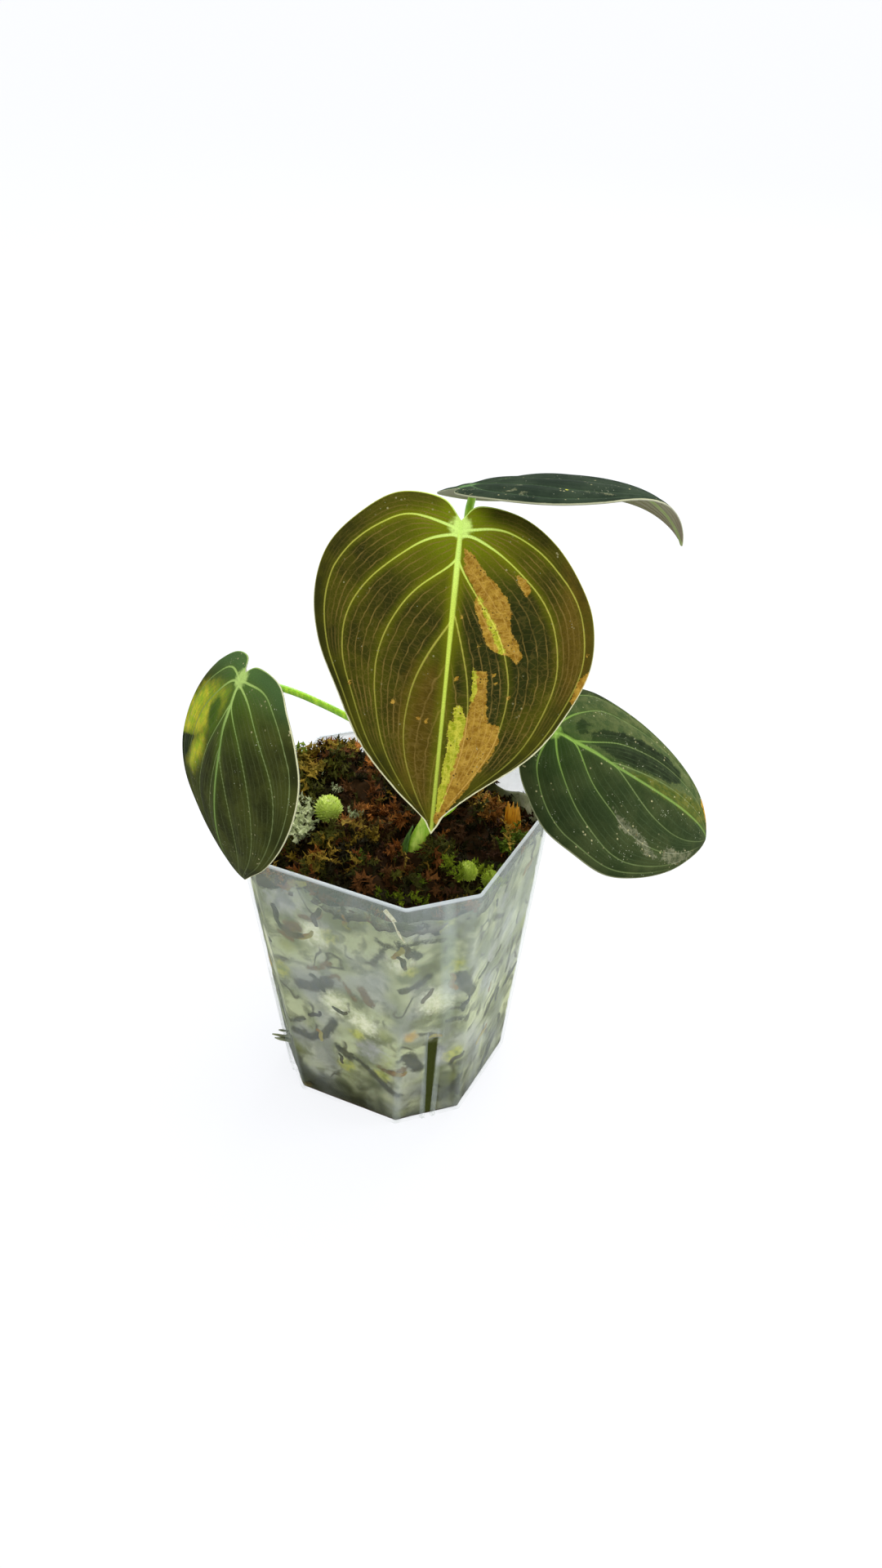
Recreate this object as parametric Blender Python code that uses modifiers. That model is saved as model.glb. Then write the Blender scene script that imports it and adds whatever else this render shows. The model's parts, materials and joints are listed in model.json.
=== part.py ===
"""A young potted philodendron: four heart-shaped velvet leaves on thin petioles, a short rooted
stem, a plug of sphagnum moss, and a tapered square plastic pot with cut corners and slits.

Units are metres and +Z is up. The origin is the middle of the pot's base, on the ground. Lengths
in the tables below are in millimetres, and mm() brings them to metres.
"""
import math
import random
from dataclasses import dataclass

import bmesh
import bpy
from mathutils import Matrix, Vector, noise

MM = 0.001
GAP = 0.3 * MM

# Pot: a square with cut corners, wider at the rim than at the base
POT_HEIGHT = 104.7 * MM
RIM_HALF_WIDTH = 45.0 * MM
BASE_HALF_WIDTH = 35.2 * MM
RIM_CORNER_CUT = 17.3 * MM
BASE_CORNER_CUT = 16.6 * MM
POT_TURN = math.radians(-25.8)
WALL = 0.8 * MM
WALL_EDGE_ROUND = 0.9 * MM
SLIT_HEIGHT = 42.0 * MM
SLIT_TOP_WIDTH = 4.2 * MM
SLIT_FOOT_WIDTH = 2.2 * MM
SLIT_REACH_IN = 6.0 * MM
SLIT_REACH_OUT = 4.0 * MM
SLIT_RIB_WIDTH = 1.3 * MM
SLIT_RIB_STAND = 0.7 * MM
SLIT_RIB_HEIGHT = 46.0 * MM
DRAIN_RADIUS = 3.0 * MM
DRAIN_CIRCLE = 19.0 * MM
CORNER_COUNT = 4

# Moss: level at the wall, domed in the middle and heaped at the back left. Wisps of it poke out of
# one slit; each is given by its height, its rise and its drift along the face in mm.
MOSS_WALL_LEVEL = 93.0 * MM
MOSS_DOME = 8.0 * MM
MOSS_HEAP = 12.0 * MM
MOSS_HEAP_PLACE = (-26, 26)
MOSS_HEAP_SPREAD = 18.0 * MM
MOSS_LUMP = 4.2 * MM
MOSS_LUMP_PITCH = 13.0 * MM
MOSS_SIDES = 40
MOSS_SIDE_LEVELS = 5
MOSS_TOP_RINGS = 11
MOSS_FINE_LUMP = 0.6
MOSS_FINE_PITCH = 0.45
MOSS_SEED = 3
SPRIG_COUNT = 130
SPRIG_LENGTH = 8.5 * MM
SPRIG_LENGTH_SPREAD = (0.7, 1.25)
SPRIG_UPRIGHT = (0.7, 1.8)
SPRIG_ROOT_RADIUS = 1.5 * MM
SPRIG_TIP_RADIUS = 0.5 * MM
SPRIG_SUNK = 2.6 * MM
SPRIG_REACH = 0.86
SPRIG_TIP_REACH = 0.93
SPRIG_CLEAR_OF_HOLES = 3.0 * MM
SPRIG_CLEAR_SHARE = 0.6
WISP_LEVELS = ((12, 5, 0.2), (15, 2, -0.2))
WISP_ROOT_DEPTH = 4.0 * MM
WISP_LENGTH = 9.0 * MM
WISP_RADII = (0.6 * MM, 0.35 * MM)
WISP_CORNER = 3

# Stem: leans to the right out of the moss, with its roots below
STEM_PATH = ((2, -18, 76), (4, -17.6, 92), (7.2, -17, 103), (12.6, -16, 114), (17.4, -13.5, 123))
STEM_RADII = (2.2, 2.7, 2.7, 2.5, 2.0)
STEM_HOLE_RADIUS = 4.1 * MM
STEM_MOUTH_PATH = ((2, -18, 84), *STEM_PATH[1:4])
ROOT_PATHS = (
    ((2, -18, 80), (-7, -13, 70), (-15, -7, 52), (-18, -5, 30), (-16, -8, 14)),
    ((2, -18, 80), (8, -25, 68), (12, -29, 50), (9, -27, 28)),
    ((2, -18, 80), (6, -8, 68), (13, 5, 52), (17, 13, 32), (14, 18, 16)),
    ((2, -18, 80), (-5, -27, 69), (-9, -31, 52), (-4, -29, 34)),
    ((2, -18, 80), (-2, -8, 66), (-6, 6, 46), (-8, 15, 24)),
)
ROOT_TOP_RADIUS = 1.2 * MM
ROOT_TIP_RADIUS = 0.7 * MM

# Blades
BLADE_THICKNESS = 0.7 * MM
VEIN_PLACES = (0.0, 0.27, 0.53, 0.78)
QUILT_SWELL = 0.55 * MM
QUILT_END_POWER = 0.7
BLADE_ROWS = 18
BEND_STEPS = 24
TIP_DROOP_POWER = 4
CURL_SPAN = 0.45
PETIOLE_SEAT = 2.0 * MM
PETIOLE_RISE = 2.2


@dataclass
class Blade:
    """One leaf blade. heading, pitch and roll turn it at its junction; droop and tip_droop bend the
    midrib down; folds and curls bend its left and right halves down over CURL_SPAN of its length.
    All are in degrees. Edges are (out from the midrib, along it) in mm, from the notch to the tip;
    left is on the left hand of someone who faces the blade's upper side with its tip down."""
    name: str
    junction: tuple
    heading: float
    pitch: float
    roll: float
    length: float
    droop: float
    tip_droop: float
    folds: tuple
    curls: tuple
    sway: float
    left_edge: tuple
    right_edge: tuple
    petiole: tuple
    petiole_radii: tuple


FRONT = Blade(
    "front", junction=(19.6, -15.3, 213.3), heading=-96.5, pitch=47, roll=-6, length=87.5,
    droop=14, tip_droop=6, folds=(-4, -4), curls=(14, 14), sway=0,
    left_edge=((0, -2), (6, -8), (18.5, -8.5), (29, -1.5), (36.5, 8.5), (38.5, 21.5), (36, 35.5),
               (30, 49), (22.5, 63.5), (12, 75), (0, 87.5)),
    right_edge=((0, -2), (5, -6.5), (17, -4.5), (27, 2), (35, 12), (40, 23), (40.5, 36.5),
                (35, 50), (26, 63), (11.5, 74.5), (0, 87.5)),
    petiole=((17.6, -13.4, 123.4), (21.6, -10, 138), (25.4, -6, 165), (24.2, -4.6, 190),
             (21.4, -6.6, 204)),
    petiole_radii=(1.5, 1.25, 1.1, 1.1, 1.2))

LEFT = Blade(
    "left", junction=(-44.5, -20.1, 165.7), heading=-140, pitch=47, roll=8, length=74.5,
    droop=72, tip_droop=7, folds=(7, 0), curls=(2, 22), sway=-5.3,
    left_edge=((0, -2), (4.5, -6.5), (13, -5.5), (20.5, 1.5), (26.5, 10), (31, 21), (33, 33),
               (29.5, 44), (20, 53), (9, 63), (0, 74.5)),
    right_edge=((0, -2), (4.5, -5.5), (16, -5), (24.5, 1), (32, 9.5), (36, 19), (35.5, 31),
                (31, 43), (23, 54), (12, 63.5), (0, 74.5)),
    petiole=((10, -15.5, 117.2), (5, -16, 132), (-7.4, -16, 146), (-24.5, -16.5, 156.7),
             (-36, -17.4, 161.6)),
    petiole_radii=(1.4, 1.2, 1.1, 1.05, 1.1))

RIGHT = Blade(
    "right", junction=(49.3, -10.5, 143.9), heading=-15.5, pitch=9, roll=26, length=74,
    droop=60, tip_droop=24, folds=(-3, 7), curls=(14, 35), sway=4.7,
    left_edge=((0, -2), (7.5, -6.5), (16.5, -5.5), (25, 0), (31.5, 8), (33.5, 18.5), (34, 30.5),
               (29.5, 41.5), (21.5, 53), (11.5, 63), (0, 74)),
    right_edge=((0, -2), (7, -6.5), (15, -5), (22.5, 0.5), (28, 8.5), (29.5, 18), (28.5, 29.5),
                (24.5, 40.5), (18, 52.5), (10.5, 63.5), (0, 74)),
    petiole=((18.9, -14.6, 117), (24, -11, 126), (33, -9, 134.5), (42, -9, 138.4)),
    petiole_radii=(1.4, 1.25, 1.1, 1.15))

TOP = Blade(
    "top", junction=(21.7, 5.2, 216.8), heading=19.7, pitch=-6.5, roll=-25.6, length=76.3,
    droop=34, tip_droop=56, folds=(0.6, -9), curls=(32, 38), sway=0.3,
    left_edge=((0, -2), (7, -6.5), (15.7, -5.3), (24, 0.4), (30.3, 8.8), (33.4, 19), (32.7, 31.3),
               (28, 42.7), (20.6, 54.2), (10.8, 64.9), (0, 76.3)),
    right_edge=((0, -2), (7, -6.5), (15.7, -5.3), (24, 0.4), (30.3, 8.8), (33.4, 19), (32.7, 31.3),
                (28, 42.7), (20.6, 54.2), (10.8, 64.9), (0, 76.3)),
    petiole=((16.3, -10.2, 120), (18, -4, 146), (21.5, 1.5, 172), (23.0, 3.4, 196),
             (22.2, 3.2, 209)),
    petiole_radii=(1.5, 1.25, 1.1, 1.1, 1.2))

BLADES = (FRONT, LEFT, RIGHT, TOP)


@dataclass
class MossHead:
    """A pale star head of moss on its own short stalk, which stands in a hole in the plug."""
    name: str
    place: tuple
    radius: float
    lift: float


MOSS_HEADS = (
    MossHead("left", place=(-21.5, -0.8), radius=4.2, lift=2.4),
    MossHead("front", place=(24.1, -25.8), radius=3.2, lift=1.6),
    MossHead("corner", place=(31.5, -26.4), radius=2.8, lift=1.4),
)
HEAD_STALK_RADIUS = 1.0 * MM
HEAD_STALK_DEPTH = 7.0 * MM
HEAD_RAYS = 7
HEAD_RAY_DEPTH = 0.16

# Fern chip: a curled amber flake that stands in the moss at the right
CHIP_FOOT = (41.0, 8.0)
CHIP_HEIGHT = 18.0 * MM
CHIP_WIDTH = 7.0 * MM
CHIP_THICKNESS = 1.2 * MM
CHIP_CURL_RADIUS = 5.5 * MM
CHIP_FACING = math.radians(250)
CHIP_NARROWING = 0.35
CHIP_RAGGED = 0.18
CHIP_TEETH = 9
CHIP_ROWS = 5
CHIP_COLUMNS = 7
CHIP_SUNK = 4.0 * MM

# Sheath: the dry leaf that hugs the left of the stem
SHEATH_FOOT = 0.30
SHEATH_TOP = 0.62
SHEATH_ARC = math.radians(150)
SHEATH_FACING = math.radians(95)
SHEATH_STAND_OFF = 0.35 * MM
SHEATH_FLARE = 0.5 * MM
SHEATH_TIP_SHARE = 0.12
SHEATH_TAPER_POWER = 2.2
SHEATH_THICKNESS = 0.6 * MM
SHEATH_COLUMNS = 9
SHEATH_STEPS = 8


def mm(point):
    """A point in millimetres, as a vector in metres."""
    return Vector(point) * MM


def clear_scene():
    for old in list(bpy.data.objects):
        bpy.data.objects.remove(old, do_unlink=True)
    for old in list(bpy.data.collections):
        bpy.data.collections.remove(old)


def new_collection(name):
    collection = bpy.data.collections.new(name)
    bpy.context.scene.collection.children.link(collection)
    return collection


def material(name, colour, roughness, alpha=1.0, subsurface=0.0):
    """A Principled material with the finish that the part has as a whole."""
    finish = bpy.data.materials.new(name)
    finish.use_nodes = True
    shader = finish.node_tree.nodes["Principled BSDF"]
    shader.inputs["Base Color"].default_value = (*colour, 1.0)
    shader.inputs["Roughness"].default_value = roughness
    shader.inputs["Metallic"].default_value = 0.0
    shader.inputs["Alpha"].default_value = alpha
    shader.inputs["Subsurface Weight"].default_value = subsurface
    finish.diffuse_color = (*colour, alpha)
    return finish


def add_object(name, mesh, collection, finish=None):
    item = bpy.data.objects.new(name, mesh)
    collection.objects.link(item)
    if finish is not None:
        mesh.materials.clear()
        mesh.materials.append(finish)
    return item


def mesh_from(points, faces, name):
    mesh = bpy.data.meshes.new(name)
    mesh.from_pydata([tuple(p) for p in points], [], faces)
    mesh.update()
    return mesh


def as_cutter(item):
    item.hide_render = True
    item.display_type = "WIRE"
    return item


def bake(item):
    """Apply the object's modifiers and weld the result."""
    graph = bpy.context.evaluated_depsgraph_get()
    mesh = bpy.data.meshes.new_from_object(item.evaluated_get(graph))
    work = bmesh.new()
    work.from_mesh(mesh)
    bmesh.ops.remove_doubles(work, verts=work.verts, dist=0.00001)
    work.to_mesh(mesh)
    work.free()
    item.modifiers.clear()
    old = item.data
    item.data = mesh
    bpy.data.meshes.remove(old)
    return item


def boolean(item, tool, operation, solver="EXACT"):
    """Join or cut with one object, or with every object of a collection, and apply it."""
    step = item.modifiers.new(operation.lower(), "BOOLEAN")
    step.operation = operation
    step.solver = solver
    if isinstance(tool, bpy.types.Collection):
        step.operand_type = "COLLECTION"
        step.collection = tool
    else:
        step.object = tool
    return bake(item)


def empty_collection(collection):
    for item in list(collection.objects):
        bpy.data.objects.remove(item, do_unlink=True)


def smooth_path(points, per_span=4):
    """A Catmull-Rom curve through the points; each point may carry its radius as a fourth value."""
    guide = [2 * points[0] - points[1], *points, 2 * points[-1] - points[-2]]
    path = []
    for before, start, end, after in zip(guide, guide[1:], guide[2:], guide[3:]):
        for step in range(per_span):
            t = step / per_span
            path.append(0.5 * (2 * start + (end - before) * t
                               + (2 * before - 5 * start + 4 * end - after) * t ** 2
                               + (3 * start - before - 3 * end + after) * t ** 3))
    path.append(points[-1])
    return path


def tube(name, points, radii, collection, sides_level=2, per_span=4):
    """A closed round tube along a smooth path, as a welded mesh."""
    guide = [Vector((*point, radius)) for point, radius in zip(points, radii)]
    path = smooth_path(guide, per_span)
    curve = bpy.data.curves.new(name, "CURVE")
    curve.dimensions = "3D"
    curve.bevel_depth = 1.0
    curve.bevel_resolution = sides_level
    curve.use_fill_caps = True
    spline = curve.splines.new("POLY")
    spline.points.add(len(path) - 1)
    for knot, place in zip(spline.points, path):
        knot.co = (place[0], place[1], place[2], 1.0)
        knot.radius = place[3]
    line = bpy.data.objects.new(name + "_line", curve)
    collection.objects.link(line)
    graph = bpy.context.evaluated_depsgraph_get()
    mesh = bpy.data.meshes.new_from_object(line.evaluated_get(graph))
    bpy.data.objects.remove(line, do_unlink=True)
    work = bmesh.new()
    work.from_mesh(mesh)
    bmesh.ops.remove_doubles(work, verts=work.verts, dist=0.00001)
    bmesh.ops.recalc_face_normals(work, faces=work.faces)
    work.to_mesh(mesh)
    work.free()
    mesh.name = name
    return add_object(name, mesh, collection)


# Pot

def pot_half_width(height):
    return BASE_HALF_WIDTH + (RIM_HALF_WIDTH - BASE_HALF_WIDTH) * height / POT_HEIGHT


def pot_corner_cut(height):
    return BASE_CORNER_CUT + (RIM_CORNER_CUT - BASE_CORNER_CUT) * height / POT_HEIGHT


def pot_ring(height, inset=0.0):
    """The eight corners of the pot's outline at a height, moved in from the outer face."""
    half = pot_half_width(height) - inset
    cut = pot_corner_cut(height) - inset * (2 - math.sqrt(2))
    flat = half - cut
    corners = []
    for quarter in range(CORNER_COUNT):
        turn = Matrix.Rotation(POT_TURN + quarter * math.pi / 2, 3, "Z")
        corners.append(turn @ Vector((-flat, -half, height)))
        corners.append(turn @ Vector((flat, -half, height)))
    return corners


def corner_frame(quarter):
    """The outward direction of a cut corner of the pot, and the direction along its face."""
    angle = POT_TURN - math.pi / 4 + quarter * math.pi / 2
    outward = Vector((math.cos(angle), math.sin(angle), 0))
    return outward, Vector((-outward.y, outward.x, 0))


def corner_distance(height):
    """How far the middle of a cut corner's face is from the pot's axis."""
    return (2 * pot_half_width(height) - pot_corner_cut(height)) / math.sqrt(2)


def wedge(name, quarter, across, reach, heights, collection):
    """A four-sided block at a cut corner. across gives its span along the face at foot and top,
    and reach its span outward from the wall's outer face."""
    outward, along = corner_frame(quarter)
    points = []
    for height, (low, high) in zip(heights, across):
        distance = corner_distance(max(height, 0.0))
        for side, out in ((low, reach[0]), (high, reach[0]), (high, reach[1]), (low, reach[1])):
            points.append(outward * (distance + out) + along * side + Vector((0, 0, height)))
    faces = [(3, 2, 1, 0), (4, 5, 6, 7), (0, 1, 5, 4), (1, 2, 6, 5), (2, 3, 7, 6), (3, 0, 4, 7)]
    mesh = mesh_from(points, faces, name)
    work = bmesh.new()
    work.from_mesh(mesh)
    bmesh.ops.recalc_face_normals(work, faces=work.faces)
    work.to_mesh(mesh)
    work.free()
    return add_object(name, mesh, collection)


def make_pot(parts, cutters, finish):
    foot = pot_ring(0.0)
    rim = pot_ring(POT_HEIGHT)
    count = len(foot)
    walls = [(i, (i + 1) % count, count + (i + 1) % count, count + i) for i in range(count)]
    mesh = mesh_from(foot + rim, [tuple(range(count))[::-1], *walls], "pot")
    pot = add_object("pot", mesh, parts, finish)

    rounding = pot.modifiers.new("edge_round", "BEVEL")
    rounding.width = WALL_EDGE_ROUND
    rounding.segments = 2
    rounding.limit_method = "ANGLE"
    rounding.angle_limit = math.radians(30)
    shell = pot.modifiers.new("wall", "SOLIDIFY")
    shell.thickness = WALL
    shell.offset = -1
    shell.use_even_offset = True
    bake(pot)

    ribs = new_collection("pot_ribs")
    for quarter in range(CORNER_COUNT):
        for side in (-1, 1):
            foot_edge = side * SLIT_FOOT_WIDTH / 2
            top_edge = side * SLIT_TOP_WIDTH / 2
            across = [sorted((edge, edge + side * SLIT_RIB_WIDTH)) for edge in (foot_edge, top_edge)]
            wedge(f"rib_{quarter}_{side}", quarter, across, (-WALL / 2, SLIT_RIB_STAND),
                  (WALL_EDGE_ROUND, SLIT_RIB_HEIGHT), ribs)
    boolean(pot, ribs, "UNION")
    empty_collection(ribs)
    bpy.data.collections.remove(ribs)

    for quarter in range(CORNER_COUNT):
        across = [(-SLIT_FOOT_WIDTH / 2, SLIT_FOOT_WIDTH / 2), (-SLIT_TOP_WIDTH / 2, SLIT_TOP_WIDTH / 2)]
        as_cutter(wedge(f"slit_cutter_{quarter}", quarter, across, (-SLIT_REACH_IN, SLIT_REACH_OUT),
                        (-WALL, SLIT_HEIGHT), cutters))
        angle = POT_TURN + quarter * math.pi / 2
        bpy.ops.mesh.primitive_cylinder_add(
            vertices=16, radius=DRAIN_RADIUS, depth=6 * WALL,
            location=(DRAIN_CIRCLE * math.cos(angle), DRAIN_CIRCLE * math.sin(angle), 0))
        drain = bpy.context.object
        drain.name = f"drain_cutter_{quarter}"
        for holder in list(drain.users_collection):
            holder.objects.unlink(drain)
        cutters.objects.link(as_cutter(drain))
    boolean(pot, cutters, "DIFFERENCE")
    return pot


# Moss

def moss_level(x, y):
    """Height of the moss at a place in the pot, in metres."""
    reach = min(1.0, math.hypot(x, y) / RIM_HALF_WIDTH)
    heap_x, heap_y = (place * MM for place in MOSS_HEAP_PLACE)
    heap = math.exp(-((x - heap_x) ** 2 + (y - heap_y) ** 2) / MOSS_HEAP_SPREAD ** 2)
    lumps = noise.noise(Vector((x, y, 0.3 * MOSS_LUMP_PITCH)) / MOSS_LUMP_PITCH)
    fine = noise.noise(Vector((x, y, MOSS_LUMP_PITCH)) / (MOSS_FINE_PITCH * MOSS_LUMP_PITCH))
    dome = MOSS_WALL_LEVEL + MOSS_DOME * (1 - reach ** 4) + MOSS_HEAP * heap
    return dome + MOSS_LUMP * (lumps + MOSS_FINE_LUMP * fine)


def outline_point(ring, angle):
    """Where a ray from the axis meets the pot's outline at one height."""
    ray = Vector((math.cos(angle), math.sin(angle)))
    for start, end in zip(ring, ring[1:] + ring[:1]):
        edge = (end - start).xy
        cross = ray.x * edge.y - ray.y * edge.x
        if abs(cross) < 1e-12:
            continue
        along_ray = (start.x * edge.y - start.y * edge.x) / cross
        along_edge = (start.x * ray.y - start.y * ray.x) / cross
        if along_ray > 0 and -1e-6 <= along_edge <= 1 + 1e-6:
            return ray * along_ray
    return ray * pot_half_width(ring[0].z)


def make_moss_plug(parts, finish):
    """The plug, lofted ring by ring from the pot's floor up its wall and over the dome."""
    inset = WALL + GAP
    floor = WALL + GAP
    angles = [2 * math.pi * i / MOSS_SIDES for i in range(MOSS_SIDES)]
    points = [Vector((0, 0, floor))]
    for level in range(MOSS_SIDE_LEVELS + 1):
        share = level / MOSS_SIDE_LEVELS
        height = floor + (MOSS_WALL_LEVEL - MOSS_LUMP - floor) * share
        ring = pot_ring(height, inset + (WALL_EDGE_ROUND if level == 0 else 0.0))
        for angle in angles:
            place = outline_point(ring, angle)
            points.append(Vector((place.x, place.y, height)))
    wall_ring = pot_ring(MOSS_WALL_LEVEL - MOSS_LUMP, inset + GAP)
    for step in range(MOSS_TOP_RINGS):
        share = 1 - (step + 0.25) / MOSS_TOP_RINGS
        for angle in angles:
            place = outline_point(wall_ring, angle) * share
            points.append(Vector((place.x, place.y, moss_level(place.x, place.y))))
    points.append(Vector((0, 0, moss_level(0, 0))))

    rings = MOSS_SIDE_LEVELS + 1 + MOSS_TOP_RINGS
    faces = []
    for i in range(MOSS_SIDES):
        j = (i + 1) % MOSS_SIDES
        faces.append((0, 1 + j, 1 + i))
        for ring in range(rings - 1):
            low, high = 1 + ring * MOSS_SIDES, 1 + (ring + 1) * MOSS_SIDES
            faces.append((low + i, low + j, high + j, high + i))
        top = 1 + (rings - 1) * MOSS_SIDES
        faces.append((top + i, top + j, len(points) - 1))
    mesh = mesh_from(points, faces, "moss")
    work = bmesh.new()
    work.from_mesh(mesh)
    bmesh.ops.triangulate(work, faces=work.faces)
    work.to_mesh(mesh)
    work.free()
    return add_object("moss", mesh, parts, finish)


def cone(name, foot, tip, foot_radius, tip_radius, collection, sides=3):
    """A slim tapered prism from foot to tip."""
    axis = tip - foot
    mesh = bpy.data.meshes.new(name)
    work = bmesh.new()
    bmesh.ops.create_cone(work, cap_ends=True, segments=sides, radius1=foot_radius,
                          radius2=tip_radius, depth=axis.length)
    turn = Vector((0, 0, 1)).rotation_difference(axis).to_matrix().to_4x4()
    bmesh.ops.transform(work, matrix=Matrix.Translation((foot + tip) / 2) @ turn, verts=work.verts)
    work.to_mesh(mesh)
    work.free()
    return add_object(name, mesh, collection)


def hole_places():
    """Where something stands in the moss, as (x, y, radius) that the sprigs keep clear of."""
    stem_x, stem_y, _ = STEM_PATH[2]
    places = [(stem_x * MM, stem_y * MM, STEM_HOLE_RADIUS)]
    places += [(head.place[0] * MM, head.place[1] * MM, head.radius * MM) for head in MOSS_HEADS]
    places.append((CHIP_FOOT[0] * MM, CHIP_FOOT[1] * MM, CHIP_CURL_RADIUS))
    return places


def add_sprigs(moss):
    """Upright and leaning strands over the dome, and a wisp that pokes out of the left slit."""
    sprigs = new_collection("moss_sprigs")
    draw = random.Random(MOSS_SEED)
    ring = pot_ring(MOSS_WALL_LEVEL, WALL + GAP)
    placed = 0
    while placed < SPRIG_COUNT:
        angle = draw.uniform(0, 2 * math.pi)
        edge = outline_point(ring, angle)
        spot = edge * (SPRIG_REACH * math.sqrt(draw.random()))
        lean = Vector((draw.uniform(-1, 1), draw.uniform(-1, 1), draw.uniform(*SPRIG_UPRIGHT))).normalized()
        length = SPRIG_LENGTH * draw.uniform(*SPRIG_LENGTH_SPREAD)
        margin = SPRIG_CLEAR_OF_HOLES + length * SPRIG_CLEAR_SHARE
        clear = all(math.hypot(spot.x - x, spot.y - y) > radius + margin for x, y, radius in hole_places())
        end = spot + lean.xy * length
        inside = end.length < SPRIG_TIP_REACH * outline_point(ring, math.atan2(end.y, end.x)).length
        if not (clear and inside):
            continue
        surface = Vector((spot.x, spot.y, moss_level(spot.x, spot.y)))
        cone(f"sprig_{placed}", surface - lean * SPRIG_SUNK, surface + lean * (length - SPRIG_SUNK),
             SPRIG_ROOT_RADIUS, SPRIG_TIP_RADIUS, sprigs)
        placed += 1
    outward, along = corner_frame(WISP_CORNER)
    for index, (height, rise, drift) in enumerate(WISP_LEVELS):
        base = outward * (corner_distance(height * MM) - WISP_ROOT_DEPTH) + Vector((0, 0, height * MM))
        tip = base + outward * WISP_LENGTH + along * (drift * MM) + Vector((0, 0, rise * MM))
        cone(f"slit_wisp_{index}", base, tip, *WISP_RADII, sprigs, sides=4)
    boolean(moss, sprigs, "UNION")
    empty_collection(sprigs)
    bpy.data.collections.remove(sprigs)


# Stem and roots

def make_stem(name, collection, extra=0.0):
    """The stem with its roots, as one body. extra widens it, for the holes in the moss."""
    radii = [radius * MM + extra for radius in STEM_RADII]
    stem = tube(name, [mm(point) for point in STEM_PATH], radii, collection, sides_level=3)
    helpers = new_collection(name + "_roots")
    for number, path in enumerate(ROOT_PATHS):
        steps = len(path) - 1
        taper = [ROOT_TOP_RADIUS + (ROOT_TIP_RADIUS - ROOT_TOP_RADIUS) * i / steps + extra
                 for i in range(steps + 1)]
        tube(f"{name}_root_{number}", [mm(point) for point in path], taper, helpers, sides_level=1)
    boolean(stem, helpers, "UNION")
    empty_collection(helpers)
    bpy.data.collections.remove(helpers)
    return stem


def make_sheath(parts, finish):
    """A thin pointed sleeve that wraps part of the stem."""
    guide = [Vector((*mm(point), radius * MM)) for point, radius in zip(STEM_PATH, STEM_RADII)]
    path = smooth_path(guide, SHEATH_STEPS)
    first = round(SHEATH_FOOT * (len(path) - 1))
    last = round(SHEATH_TOP * (len(path) - 1))
    columns = SHEATH_COLUMNS
    points = []
    for index in range(first, last + 1):
        rise = (index - first) / (last - first)
        arc = SHEATH_ARC * max(SHEATH_TIP_SHARE, 1 - rise ** SHEATH_TAPER_POWER)
        here = path[index]
        ahead = (path[index + 1] - path[index - 1]).xyz.normalized()
        side = ahead.cross(Vector((0, 0, 1))).normalized()
        other = side.cross(ahead).normalized()
        radius = here[3] + SHEATH_STAND_OFF + rise * SHEATH_FLARE
        for column in range(columns):
            angle = SHEATH_FACING + arc * (column / (columns - 1) - 0.5)
            points.append(here.xyz + side * (radius * math.cos(angle)) + other * (radius * math.sin(angle)))
    faces = []
    for row in range(last - first):
        for column in range(columns - 1):
            low = row * columns + column
            faces.append((low, low + 1, low + columns + 1, low + columns))
    sheath = add_object("sheath", mesh_from(points, faces, "sheath"), parts, finish)
    work = bmesh.new()
    work.from_mesh(sheath.data)
    bmesh.ops.triangulate(work, faces=work.faces)
    centre = sum((here.xyz for here in path[first:last + 1]), Vector()) / (last + 1 - first)
    if sum(face.normal.dot(face.calc_center_median() - centre) for face in work.faces) < 0:
        bmesh.ops.reverse_faces(work, faces=work.faces)
    work.to_mesh(sheath.data)
    work.free()
    shell = sheath.modifiers.new("thickness", "SOLIDIFY")
    shell.thickness = SHEATH_THICKNESS
    shell.offset = 1
    return sheath


# Leaves

def blade_frame(blade):
    """Side, forward and upward directions of the blade at its junction."""
    heading, pitch, roll = (math.radians(x) for x in (blade.heading, blade.pitch, blade.roll))
    forward = Vector((math.cos(heading) * math.cos(pitch), math.sin(heading) * math.cos(pitch),
                      -math.sin(pitch)))
    level_up = Vector((math.cos(heading) * math.sin(pitch), math.sin(heading) * math.sin(pitch),
                       math.cos(pitch)))
    up = level_up * math.cos(roll) + forward.cross(level_up) * math.sin(roll)
    return forward.cross(up), forward, up


def midrib_bend(blade, along):
    """How far the midrib has turned down, in radians, at a distance from the junction."""
    share = along / (blade.length * MM)
    tip_share = max(share, 0.0) ** TIP_DROOP_POWER
    return math.radians(blade.droop) * share + math.radians(blade.tip_droop) * tip_share


def midrib_place(blade, along):
    """Forward and upward travel of the midrib from the junction."""
    step = along / BEND_STEPS
    angles = [midrib_bend(blade, step * (i + 0.5)) for i in range(BEND_STEPS)]
    return step * sum(map(math.cos, angles)), -step * sum(map(math.sin, angles))


def blade_point(blade, out, along, lift=0.0):
    """A point of the bent blade; out is to the left of the midrib, and lift is off its face."""
    side, forward, up = blade_frame(blade)
    left = out >= 0
    fold = math.radians(blade.folds[0 if left else 1])
    curve = math.radians(blade.curls[0 if left else 1]) / (CURL_SPAN * blade.length * MM)
    reach = abs(out)
    turn = fold + curve * reach
    across = (math.sin(turn) - math.sin(fold)) / curve + lift * math.sin(turn)
    drop = (math.cos(fold) - math.cos(turn)) / curve - lift * math.cos(turn)
    bend = midrib_bend(blade, along)
    ahead, rise = midrib_place(blade, along)
    sway = blade.sway * MM * math.sin(math.pi * max(0.0, min(1.0, along / (blade.length * MM))))
    sideways = (across if left else -across) + sway
    return (mm(blade.junction) + side * sideways + forward * (ahead - drop * math.sin(bend))
            + up * (rise - drop * math.cos(bend)))


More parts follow.
